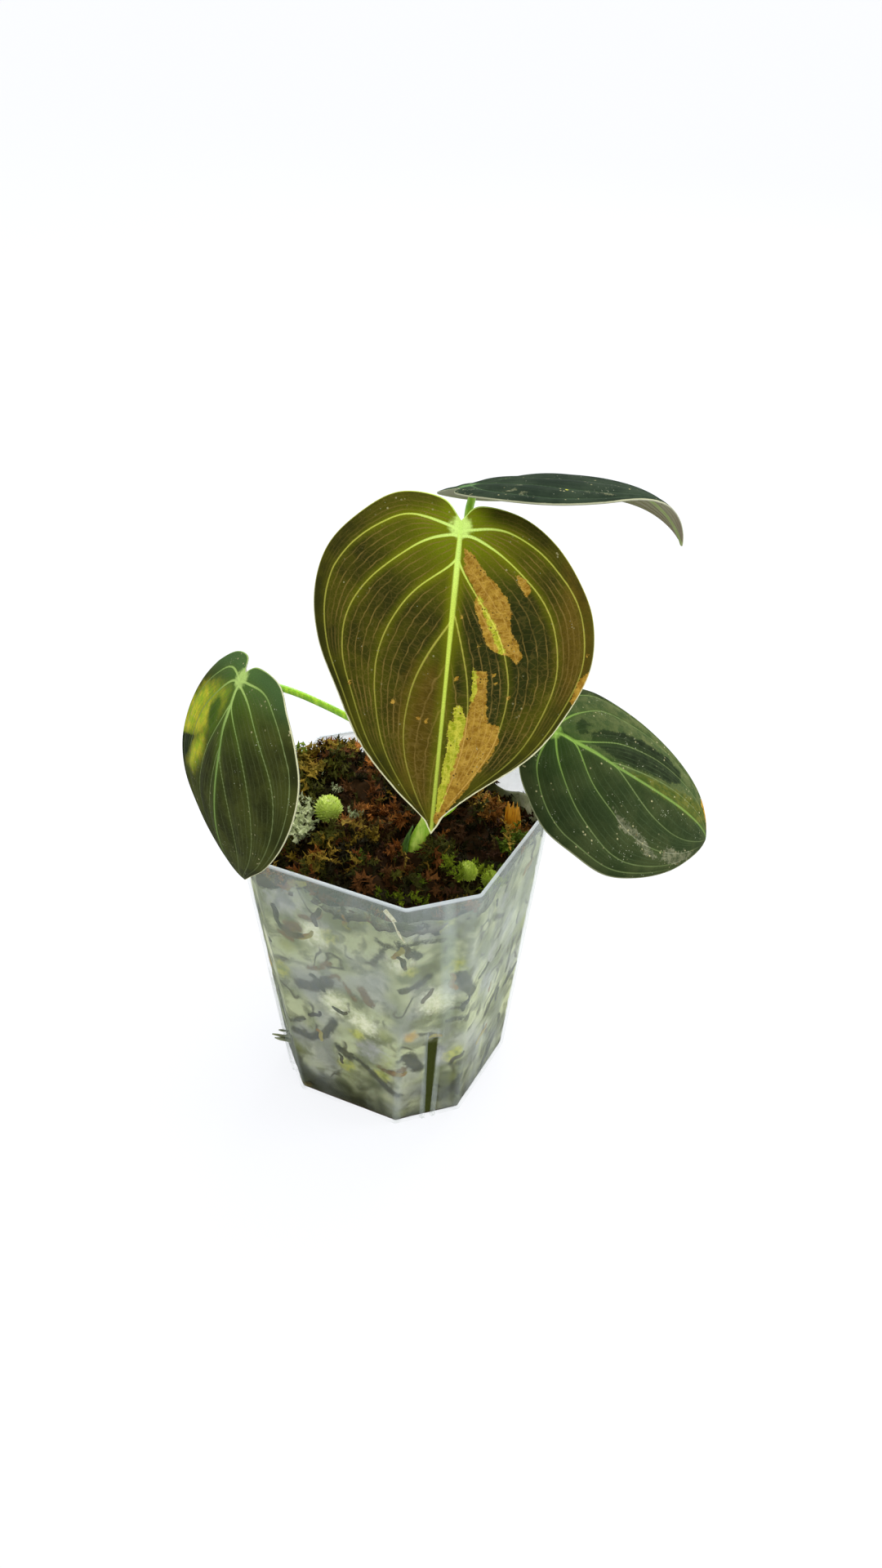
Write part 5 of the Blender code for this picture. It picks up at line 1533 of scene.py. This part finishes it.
def strand_collection(name, shapes):
    """Holds the few shapes that are scattered; the collection is emptied after use."""
    holder = bpy.data.collections.new(name)
    for number, (points, faces) in enumerate(shapes):
        label = f"{name}_{number}"
        holder.objects.link(bpy.data.objects.new(label, mesh_of(label, points, faces)))
    return holder


def scatter_tree():
    """Geometry Nodes: sets strands on a surface, thickly where an attribute says so."""
    work, given, end = new_group(
        "scatter_strands",
        [("Geometry", "Geometry", None), ("Strands", "Collection", None), ("Growth", "String", ""),
         ("Density", "Float", 1.0), ("Seed", "Int", 0), ("Smallest", "Float", 0.7),
         ("Largest", "Float", 1.3), ("Turn", "Vector", (0.0, 0.0, 0.0)), ("Finish", "Material", None)],
        [("Geometry", "Geometry")], "GeometryNodeTree")
    seed = given["Seed"]
    where = work.node("GeometryNodeInputNamedAttribute", {"Name": given["Growth"]}, data_type="FLOAT")
    density = work.times(where.outputs["Attribute"], given["Density"])
    spots = work.node("GeometryNodeDistributePointsOnFaces",
                      {"Mesh": given["Geometry"], "Density": density, "Seed": seed},
                      distribute_method="RANDOM").outputs
    back = work.node("ShaderNodeVectorMath", {0: given["Turn"], "Scale": -1.0}, operation="SCALE")
    angles = work.node("FunctionNodeRandomValue",
                       {0: back.outputs[0], 1: given["Turn"], "Seed": seed}, data_type="FLOAT_VECTOR")
    euler = work.node("FunctionNodeEulerToRotation", {0: angles.outputs[0]})
    turned = work.node("FunctionNodeRotateRotation", {0: spots["Rotation"], 1: euler.outputs[0]},
                       rotation_space="LOCAL")
    size = work.node("FunctionNodeRandomValue",
                     {2: given["Smallest"], 3: given["Largest"], "Seed": seed}, data_type="FLOAT")
    shapes = work.node("GeometryNodeCollectionInfo", {"Collection": given["Strands"],
                                                      "Separate Children": True, "Reset Children": True})
    placed = work.node("GeometryNodeInstanceOnPoints",
                       {"Points": spots["Points"], "Instance": shapes.outputs[0], "Pick Instance": True,
                        "Rotation": turned.outputs[0], "Scale": size.outputs[1]})
    tint = work.node("FunctionNodeRandomValue", {"Seed": TINT_SEED}, data_type="FLOAT")
    stored = work.node("GeometryNodeStoreNamedAttribute",
                       {"Geometry": placed.outputs[0], "Name": "tint", "Value": tint.outputs[1]},
                       data_type="FLOAT", domain="INSTANCE")
    real = work.node("GeometryNodeRealizeInstances", {0: stored.outputs[0]})
    coloured = work.node("GeometryNodeSetMaterial",
                         {"Geometry": real.outputs[0], "Material": given["Finish"]})
    work.put(end.inputs[0], coloured.outputs[0])
    return work.tree


SCATTER = scatter_tree()


def scattered(name, ground, inset, inputs):
    """A mesh of strands that stand on the ground mesh, kept inside the pot's wall."""
    holder = add_piece(name + "_ground", ground.copy())
    step = holder.modifiers.new("strands", "NODES")
    step.node_group = SCATTER
    for item in SCATTER.interface.items_tree:
        if item.in_out == "INPUT" and item.name in inputs:
            step[item.identifier] = inputs[item.name]
    graph = bpy.context.evaluated_depsgraph_get()
    mesh = bpy.data.meshes.new_from_object(holder.evaluated_get(graph))
    mesh.name = name
    bpy.data.objects.remove(holder, do_unlink=True)
    keep_inside_pot(mesh, inset)
    return mesh


def clear_ground(place):
    """None of the strands grows where a head, the stem or the chip stands: from 0 to 1."""
    clear = 1.0
    for x, y, radius in (*((x, y, radius) for _, (x, y), radius, _ in HEADS), STEM_CLEARING, CHIP_CLEARING):
        distance = math.hypot(place.x / MM - x, place.y / MM - y)
        clear = min(clear, max(0.0, (distance - radius) / 1.5))
    return clear


# Colours of the strands: two that mottle, the tips, how much light comes through them, and whether
# they take a colour from their clump and painted shade in the gaps of clumps
STRAND_COLOURS = {
    "brown_moss": ((0.190, 0.062, 0.010), (0.72, 0.28, 0.050), (0.38, 0.120, 0.019), 0.25, True),
    "tan_moss": ((0.34, 0.22, 0.024), (0.66, 0.45, 0.070), (0.46, 0.25, 0.026), 0.3, True),
    "olive_moss": ((0.060, 0.058, 0.005), (0.20, 0.20, 0.016), (0.11, 0.115, 0.008), 0.3, True),
    "wall_strands": ((0.026, 0.022, 0.004), (0.10, 0.080, 0.014), (0.040, 0.044, 0.008), 0.1),
    "pale_strands": ((0.20, 0.20, 0.02), (0.34, 0.30, 0.06), (0.26, 0.14, 0.02), 0.2),
}
LEANING = (0.9, 0.9, math.pi)
LYING = (0.08, 0.08, math.pi)
MOSS_INSET = WALL + 0.15 * MM
# Layers of strands: piece, gap to the pot's outer face, shapes, where they grow, how many on a square
# metre, the smallest and largest size, the turns they take, and finish. The seeds count from one.
LAYERS = (
    ("moss_brown", MOSS_INSET, "tuft", "brown", 230000.0, 0.3, 0.8, LEANING, "brown_moss"),
    ("moss_tan", MOSS_INSET, "shag", "tan", 330000.0, 0.3, 0.8, LEANING, "tan_moss"),
    ("moss_olive", MOSS_INSET, "tuft", "olive", 330000.0, 0.3, 0.75, LEANING, "olive_moss"),
    ("wall_strands", STRAND_INSET, "worm", "wall", 2600.0, 0.5, 1.15, LYING, "wall_strands"),
    ("wall_pale_strands", STRAND_INSET, "worm", "wall", 1000.0, 0.5, 1.1, LYING, "pale_strands"),
)


def make_moss():
    """The bed, and the strands that grow on it and lie against the wall."""
    ground = make_bed()
    keep("moss_bed", ground, [bed_finish()], "moss", "moss")
    holders = {kind: strand_collection(kind, [tuft_strand(seed, *sizes) for seed in seeds])
               for kind, (seeds, sizes) in TUFT_SHAPES.items()}
    worms = [worm_strand(seed, WORM_LENGTH, WORM_RADIUS) for seed in WORM_SEEDS]
    holders["worm"] = strand_collection("worm", worms)
    finishes = {name: strand_finish(name, *values) for name, values in STRAND_COLOURS.items()}
    for seed, (name, inset, kind, where, density, smallest, largest, turn, finish) in enumerate(LAYERS, 1):
        inputs = {"Strands": holders[kind], "Growth": where, "Density": density, "Seed": seed,
                  "Smallest": smallest, "Largest": largest, "Turn": turn, "Finish": finishes[finish]}
        keep(name, scattered(name, ground, inset, inputs), [], "moss")
    for holder in holders.values():
        for item in list(holder.objects):
            bpy.data.objects.remove(item, do_unlink=True)
        bpy.data.collections.remove(holder)


# Heads, tufts, wisp, chip

def leaflet(foot, outward, up, length, width):
    """A small pointed blade with a raised back: six faces."""
    across = outward.cross(up).normalized() * (width / 2)
    rise = across.cross(outward).normalized() * (width * 0.22)
    middle = foot + outward * (0.45 * length)
    tip = foot + outward * length + up * (0.18 * length)
    points = [foot - across * 0.5, foot + across * 0.5, middle + across, tip, middle - across, middle + rise]
    faces = [(0, 1, 5), (1, 2, 5), (2, 3, 5), (3, 4, 5), (4, 0, 5), (4, 3, 2, 1, 0)]
    return points, faces


HEAD_LEAVES = 190
HEAD_SPAN = 1.75
GOLDEN_TURN = 2.39996
HEAD_CORE = 0.76
HEAD_FOOT = 0.62


def star_head(name, place, radius, lift, finish):
    """A ball of small pointed leaves round a core, as live moss carries at its tip."""
    x, y = (value * MM for value in place)
    centre = Vector((x, y, moss_level(x, y) + lift * MM))
    radius *= MM
    draw = random.Random(name)
    shapes = []
    for index in range(HEAD_LEAVES):
        height = 1 - HEAD_SPAN * (index + 0.5) / HEAD_LEAVES
        aside = toward(index * GOLDEN_TURN)
        level = math.sqrt(max(0.0, 1 - height * height))
        outward = Vector((aside.x * level, aside.y * level, height))
        up = UP if abs(height) < 0.9 else aside
        lean = (outward + 0.55 * (up - outward * up.dot(outward)).normalized()).normalized()
        foot = centre + outward * (HEAD_FOOT * radius)
        shapes.append(leaflet(foot, lean, outward, radius * draw.uniform(0.34, 0.46), radius * 0.42))
    ball = bmesh.new()
    bmesh.ops.create_icosphere(ball, subdivisions=3, radius=HEAD_CORE * radius)
    ball.verts.index_update()
    shapes.append(([centre + vert.co for vert in ball.verts],
                   [tuple(vert.index for vert in face.verts) for face in ball.faces]))
    ball.free()
    piece = "star_head_" + name
    keep(piece, merge(piece, shapes), [finish], "moss_green", "moss_head_" + name)


def head_finish():
    """Pale yellow-green leaves, with painted light on the top of the head."""
    work = Finish("star_head_green", (0.36, 0.46, 0.08), 0.6)
    place = work.place()
    spots = work.noise(place, 900.0, 3.0, 0.6)
    colour = work.blend(spots, 0.35, 0.65, (0.62, 0.76, 0.07), (0.88, 0.96, 0.20))
    # Painted highlight: the top of the head is made paler, as if lit from above.
    crown = work.remap(work.part(place, 2), 99 * MM, 109 * MM, 0.0, 0.7)
    work.paint(work.mix(crown, colour, (0.92, 1.0, 0.42)), 0.35)
    return work.material


# Loose tufts that stand up from the clumps, by colour: place on the moss in mm, size and lean
TUFTS = {
    "gold": ((-29.8, 16.1, 1.0, 0, 0), (-31.0, 21.0, 1.1, 0, 0), (-31.5, 11.0, 0.9, -0.1, 0),
             (-33.0, 6.0, 0.8, -0.1, 0), (-31.7, -15.7, 0.7, 0.2, -0.3), (-24.6, -22.8, 0.75, 0, -0.4),
             (-21.3, -14.0, 0.7, 0, -0.2), (-14.5, -16.5, 0.6, 0.2, -0.2), (-6.8, -12.3, 0.6, 0, 0),
             (-22.0, 30.0, 0.8, 0, 0), (-16.0, 31.0, 0.7, 0.1, 0)),
    "green": ((-33.0, 26.0, 1.2, -0.1, 0), (-34.5, 23.0, 1.0, -0.2, 0), (40.5, -4.8, 0.7, 0, -0.2),
              (36.6, -11.5, 0.7, 0, 0), (32.5, -19.5, 0.6, 0, 0), (-10.2, -24.3, 0.55, 0, -0.2),
              (8.0, -33.5, 0.6, 0.4, -0.2)),
    # Of the pale tufts, the two smallest, at (-26.4, 18.6) and (-19.4, 11.5), are painted highlights: glints
    # on wet moss, made as tiny pale tufts.
    "pale": ((-31.6, 2.8, 1.0, -0.2, -0.3), (-30.5, -1.0, 1.0, 0, -0.4), (-29.0, -4.2, 0.9, 0, -0.5),
             (-32.5, -3.5, 1.0, -0.1, -0.3), (-31.3, -7.9, 0.9, 0, -0.5), (-33.5, -7.0, 0.8, -0.2, -0.3),
             (-30.8, -5.5, 1.0, 0, -0.4), (-28.3, 1.0, 0.8, 0, -0.3), (-31.0, 0.8, 1.0, 0, -0.3),
             (-14.0, -1.6, 0.55, 0.5, -0.2), (-26.4, 18.6, 0.4, 0, -0.2), (-19.4, 11.5, 0.35, 0, -0.2)),
    "lime": ((-1.5, -37.0, 0.5, -3, -0.7), (1.5, -38.0, 0.5, 3, -0.7), (5.0, -39.0, 0.5, 3, -0.7),
             (8.5, -39.5, 0.4, 3, 0), (17.9, -24.7, 0.6, -0.2, -0.3), (20.4, -27.6, 0.6, -0.2, -0.4),
             (24.4, -21.2, 0.55, 0, 0), (28.0, -23.5, 0.6, 0, -0.2), (30.5, -30.1, 0.6, 0.2, -0.3),
             (35.0, -24.5, 0.6, 0.2, 0), (37.5, -20.0, 0.5, 0.3, 0)),
    "amber": ((34.0, 4.5, 0.8, -0.2, -0.1), (31.5, 10.5, 0.9, 0, 0), (43.0, -1.0, 0.6, 0.2, 0),
              (29.5, 2.0, 0.6, 0, -0.2), (25.0, 14.0, 0.8, 0, 0)),
}
TUFT_COLOURS = {
    "gold": ((0.20, 0.15, 0.015), (0.46, 0.33, 0.040), (0.32, 0.21, 0.018)),
    "green": ((0.11, 0.17, 0.010), (0.26, 0.36, 0.025), (0.17, 0.24, 0.012)),
    "pale": ((0.60, 0.66, 0.36), (0.92, 0.94, 0.74), (0.78, 0.82, 0.52)),
    "lime": ((0.22, 0.30, 0.012), (0.52, 0.60, 0.05), (0.36, 0.44, 0.025)),
    "amber": ((0.22, 0.09, 0.009), (0.50, 0.24, 0.022), (0.34, 0.13, 0.010)),
}
TUFT_STRANDS = 10


def make_tufts():
    """Bundles of strands at the places of TUFTS, one piece for each colour."""
    for number, (colour, places) in enumerate(TUFTS.items()):
        draw = random.Random(number)
        shapes = []
        for x, y, size, lean_x, lean_y in places:
            centre = Vector((x * MM, y * MM, moss_level(x * MM, y * MM)))
            main_axis = Vector((lean_x, lean_y, 1)).normalized()
            for _ in range(TUFT_STRANDS):
                points, faces = tuft_strand(draw.random(), *LOOSE_TUFT)
                spread = Vector((draw.uniform(-0.4, 0.4), draw.uniform(-0.4, 0.4), 0))
                axis = (main_axis + spread).normalized()
                turn = UP.rotation_difference(axis).to_matrix()
                scale = size * draw.uniform(0.7, 1.1)
                foot = centre + mm((draw.uniform(-1.8, 1.8), draw.uniform(-1.8, 1.8), -0.5))
                shapes.append(([foot + turn @ (point * scale) for point in points], faces))
        mesh = merge("tufts_" + colour, shapes)
        keep_inside_pot(mesh, MOSS_INSET)
        finish = strand_finish("tuft_" + colour, *TUFT_COLOURS[colour], 0.35)
        keep(mesh.name, mesh, [finish], "moss_green" if colour in ("lime", "pale") else "moss")


# Strands of the wisp: height of the foot, length, rise and drift in mm
WISP_STRANDS = ((12, 8.6, 4.6, 0.2), (15, 8.8, 2.2, -0.3), (13, 7.8, 3.6, 0.3), (17, 6.5, 3.4, 0.4),
                (14, 7.2, 1.6, -0.5))
WISP_RADIUS = 0.85 * MM
WISP_SUNK = 4 * MM
WISP_STEPS = 14
WISP_SIDES = 8
WISP_COLOURS = ((0.30, 0.32, 0.20), (0.46, 0.46, 0.34), (0.38, 0.40, 0.24))


def make_wisp():
    """Thin strands that poke out of the left slit."""
    outward = toward(POT_TURN - math.pi / 4 + WISP_CORNER * math.pi / 2)
    along = Vector((-outward.y, outward.x, 0))
    shares = np.linspace(0, 1, WISP_STEPS)
    shapes = []
    for height, length, rise, drift in WISP_STRANDS:
        distance = 2 * pot_half_width(height * MM) - BASE_CORNER_CUT
        base = outward * (distance / math.sqrt(2) - WISP_SUNK) + mm((0, 0, height))
        path = [base + (outward * (length * share) + along * (drift * 3 * share ** 2)
                        + Vector((0, 0, rise * share ** 1.6))) * MM for share in shares]
        radii = [WISP_RADIUS * (1 - 0.75 * share) * (1 + 0.3 * math.sin(9 * share)) for share in shares]
        shapes.append(tube_shape(path, radii, WISP_SIDES))
    mesh = merge("slit_wisp", shapes)
    mesh.shade_smooth()
    keep("slit_wisp", mesh, [strand_finish("wisp", *WISP_COLOURS, 0.2)], "moss")


def sheet_shape(rows, columns, point_at):
    """Points and faces of a closed thin sheet. point_at gives a point from the face that it is on (1
    outside, -1 inside), its row, and its place across from -0.5 to 0.5."""
    width = columns + 1
    count = (rows + 1) * width
    points = [point_at(face, row, column / columns - 0.5)
              for face in (1, -1) for row in range(rows + 1) for column in range(width)]
    faces = []
    for row in range(rows):
        for a in range(row * width, row * width + columns):
            quad = (a, a + 1, a + width + 1, a + width)
            faces += [quad, tuple(count + index for index in reversed(quad))]
    border = [*range(width), *range(2 * width - 1, count, width),
              *range(count - 2, count - width - 1, -1), *range(count - 2 * width, 0, -width)]
    return points, faces + rim_faces(border, count)


CHIP_ROWS = 40
CHIP_COLUMNS = 46
CHIP_FIBRE = 0.28 * MM


def make_chip():
    """The amber flake of fern wood: long fibres, a torn top, and painted shade at its foot in the moss."""
    x, y = (value * MM for value in CHIP_FOOT)
    foot = plug_level(x, y) - CHIP_SUNK
    arc = CHIP_WIDTH / CHIP_CURL_RADIUS

    def point_at(face, row, across):
        share = row / CHIP_ROWS
        fibre = noise.noise(Vector((across * 22, share * 1.4, 3 + face)))
        torn = 1 - 0.20 * share ** 3 * (0.5 + 0.5 * noise.noise(Vector((across * 14, 1, 9))))
        torn -= 0.12 * share ** 4 * abs(math.sin(9 * across))
        angle = CHIP_FACING + across * arc * (1 - CHIP_NARROWING * share)
        thin = 1 - 0.55 * max(abs(2 * across) ** 3, share ** 3)
        radius = CHIP_CURL_RADIUS + face * (CHIP_THICKNESS / 2 * thin) + CHIP_FIBRE * fibre
        return Vector((x + radius * math.cos(angle), y + radius * math.sin(angle),
                       foot + CHIP_HEIGHT * share * torn))

    mesh = mesh_of("fern_flake", *sheet_shape(CHIP_ROWS, CHIP_COLUMNS, point_at))
    mesh.shade_smooth()
    work = Finish("amber_fern", (0.42, 0.20, 0.02), 0.55)
    colour, streaks = streaked(work, 0.10, 1100.0, 0.32, 0.68, (0.50, 0.22, 0.014), (0.98, 0.66, 0.085),
                               4.0, 0.65)
    # Painted shade: the foot of the flake, down in the moss, is darkened.
    foot_shade = work.remap(work.part(work.place(), 2), 97 * MM, 91 * MM)
    work.paint(work.mix(foot_shade, colour, (0.09, 0.035, 0.006)), 0.5)
    work.bump(streaks, 0.5, 0.3 * MM)
    keep("fern_flake", mesh, [work.material], "fern", "fern_chip")


# Stem, roots and sheath

def stem_curve():
    """Points along the stem with its radius there, in mm."""
    return smooth_path([(*point, radius) for point, radius in zip(STEM_PATH, STEM_RADII)], STEM_STEPS)


def make_stem():
    """The green stem with rings where old leaves stood."""
    curve = stem_curve()
    steps = np.linspace(0, 1, len(curve))
    rings = sum(0.28 * np.exp(-((steps - place) / 0.012) ** 2) for place in LEAF_SCARS)
    crown = np.sqrt(1 - 0.98 * np.clip((steps - 0.96) / 0.04, 0, 1) ** 2)
    radii = (curve[:, 3] + rings - 0.1) * crown * MM
    mesh = mesh_of("stem", *tube_shape([mm(row[:3]) for row in curve.tolist()], radii.tolist(), STEM_SIDES))
    mesh.shade_smooth()
    work = Finish("stem_green", (0.22, 0.42, 0.06), 0.4)
    colour, streaks = streaked(work, 0.2, 700.0, 0.35, 0.68, (0.40, 0.70, 0.040), (0.78, 0.98, 0.16))
    spots = work.fall(work.voronoi(work.place(), 900.0), 0.12, 0.24)
    work.paint(work.mix(work.times(spots, 0.35), colour, (0.66, 0.88, 0.20)), 0.2)
    work.bump(streaks, 0.25, 0.15 * MM)
    keep("stem", mesh, [work.material], "stem", "stem_with_roots")


def make_roots():
    """Roots from the stem into the moss, and the one that shows through the wall."""
    shapes = [guided_tube(path, np.linspace(ROOT_TOP_RADIUS, ROOT_TIP_RADIUS, len(path)), ROOT_SIDES)
              for path in ROOT_PATHS]
    radii = [WALL_ROOT_RADIUS] * (len(WALL_ROOT_PATH) - 1) + [WALL_ROOT_TIP_RADIUS]
    shapes.append(guided_tube(WALL_ROOT_PATH, radii, WALL_ROOT_SIDES))
    mesh = merge("roots", shapes)
    keep_inside_pot(mesh, WALL + 0.1 * MM)
    mesh.shade_smooth()
    work = Finish("root_tan", (0.45, 0.36, 0.20), 0.7)
    colour, hairs = streaked(work, 1.0, 1500.0, 0.35, 0.65, (0.50, 0.44, 0.22), (0.84, 0.78, 0.54))
    work.paint(colour)
    work.bump(hairs, 0.4, 0.1 * MM)
    keep("roots", mesh, [work.material], "stem", "stem_with_roots")


def make_sheath():
    """The dark pointed leaf that hugs the left of the stem."""
    guide = stem_curve()
    first, last = (round(share * (len(guide) - 1)) for share in (SHEATH_FOOT, SHEATH_TOP))

    def point_at(face, row, across):
        rise, index = row / (last - first), first + row
        arc = SHEATH_ARC * max(SHEATH_TIP_SHARE, 1 - rise ** SHEATH_TAPER_POWER)
        ahead = Vector(guide[index + 1, :3] - guide[index - 1, :3]).normalized()
        side = ahead.cross(UP).normalized()
        other = side.cross(ahead).normalized()
        depth = SHEATH_THICKNESS * (1 - 0.7 * abs(2 * across) ** 4) if face > 0 else 0.0
        rib = SHEATH_RIB * math.sin(40 * across) * (1 - rise)
        radius = guide[index, 3] + SHEATH_STAND_OFF + rise * SHEATH_FLARE + depth + rib
        angle = SHEATH_FACING + arc * across
        around = side * (radius * math.cos(angle)) + other * (radius * math.sin(angle))
        return (Vector(guide[index, :3]) + around) * MM

    mesh = mesh_of("sheath_leaf", *sheet_shape(last - first, SHEATH_COLUMNS, point_at))
    mesh.shade_smooth()
    work = Finish("sheath_green", (0.045, 0.12, 0.02), 0.5, 0.3)
    colour, streaks = streaked(work, 0.15, 900.0, 0.35, 0.65, (0.055, 0.13, 0.018), (0.14, 0.29, 0.045))
    work.paint(colour, 0.25)
    work.bump(streaks, 0.3, 0.15 * MM)
    keep("sheath_leaf", mesh, [work.material], "stem", "sheath")


def make_details():
    green = head_finish()
    for head in HEADS:
        star_head(*head, green)
    make_tufts()
    make_wisp()
    make_chip()
    make_stem()
    make_roots()
    make_sheath()


# Floor, light and camera

FLOOR_SIZE = 24.0
FLOOR_DROP = 0.3 * MM
# Area lights: where each stands, where it points, its width in metres and its power
LIGHTS = {
    "back_window": ((0.35, 0.75, 0.75), (0, 0, 0.12), 0.8, 6),
    "top_softbox": ((0.1, -0.1, 1.2), (0, 0, 0.1), 0.9, 5),
    "side_softbox": ((0.75, 0.0, 0.35), (0, 0, 0.06), 0.5, 3.5),
}


def make_stage():
    """A pale floor that reaches well past the frame."""
    bpy.ops.mesh.primitive_plane_add(size=FLOOR_SIZE, location=(0, 0, -FLOOR_DROP))
    floor = bpy.context.object
    floor.name = "floor"
    work = Finish("pale_floor", (0.12, 0.12, 0.125), 0.8, 0.05)
    work.set("Emission Color", (0.968, 0.977, 1.0))
    work.set("Emission Strength", 0.875)
    floor.data.materials.append(work.material)


def light_scene():
    """A soft white world and three large lamps."""
    world = bpy.data.worlds.new("soft_white")
    world.use_nodes = True
    shade = world.node_tree.nodes["Background"]
    shade.inputs["Color"].default_value = (0.94, 0.97, 1.0, 1.0)
    shade.inputs["Strength"].default_value = 0.95
    bpy.context.scene.world = world
    for name, (place, target, size, power) in LIGHTS.items():
        lamp = bpy.data.lights.new(name, "AREA")
        lamp.shape = "DISK"
        lamp.size = size
        lamp.energy = power
        item = add_piece(name, lamp)
        item.location = place
        item.rotation_euler = (Vector(target) - Vector(place)).to_track_quat("-Z", "Y").to_euler()
    bpy.context.scene.view_settings.view_transform = "Standard"


def place_camera():
    lens = bpy.data.cameras.new("camera")
    lens.sensor_width = CAMERA_SENSOR
    lens.lens = CAMERA_LENS
    camera = add_piece("camera", lens)
    back = Vector((0, -math.cos(CAMERA_ELEVATION), math.sin(CAMERA_ELEVATION)))
    up = Vector((0, math.sin(CAMERA_ELEVATION), math.cos(CAMERA_ELEVATION)))
    turn = Matrix((Vector((1, 0, 0)), up, back)).transposed().to_4x4()
    spot = Matrix.Translation(mm(CAMERA_TARGET) + back * CAMERA_DISTANCE)
    camera.matrix_world = spot @ turn @ Matrix.Rotation(CAMERA_ROLL, 4, "Z")
    bpy.context.scene.camera = camera


make_leaves()
make_pot()
make_moss()
make_details()
place_camera()
light_scene()
make_stage()

for piece, slot, nodes in made:
    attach(piece, "root")
    if nodes:
        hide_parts(*nodes)
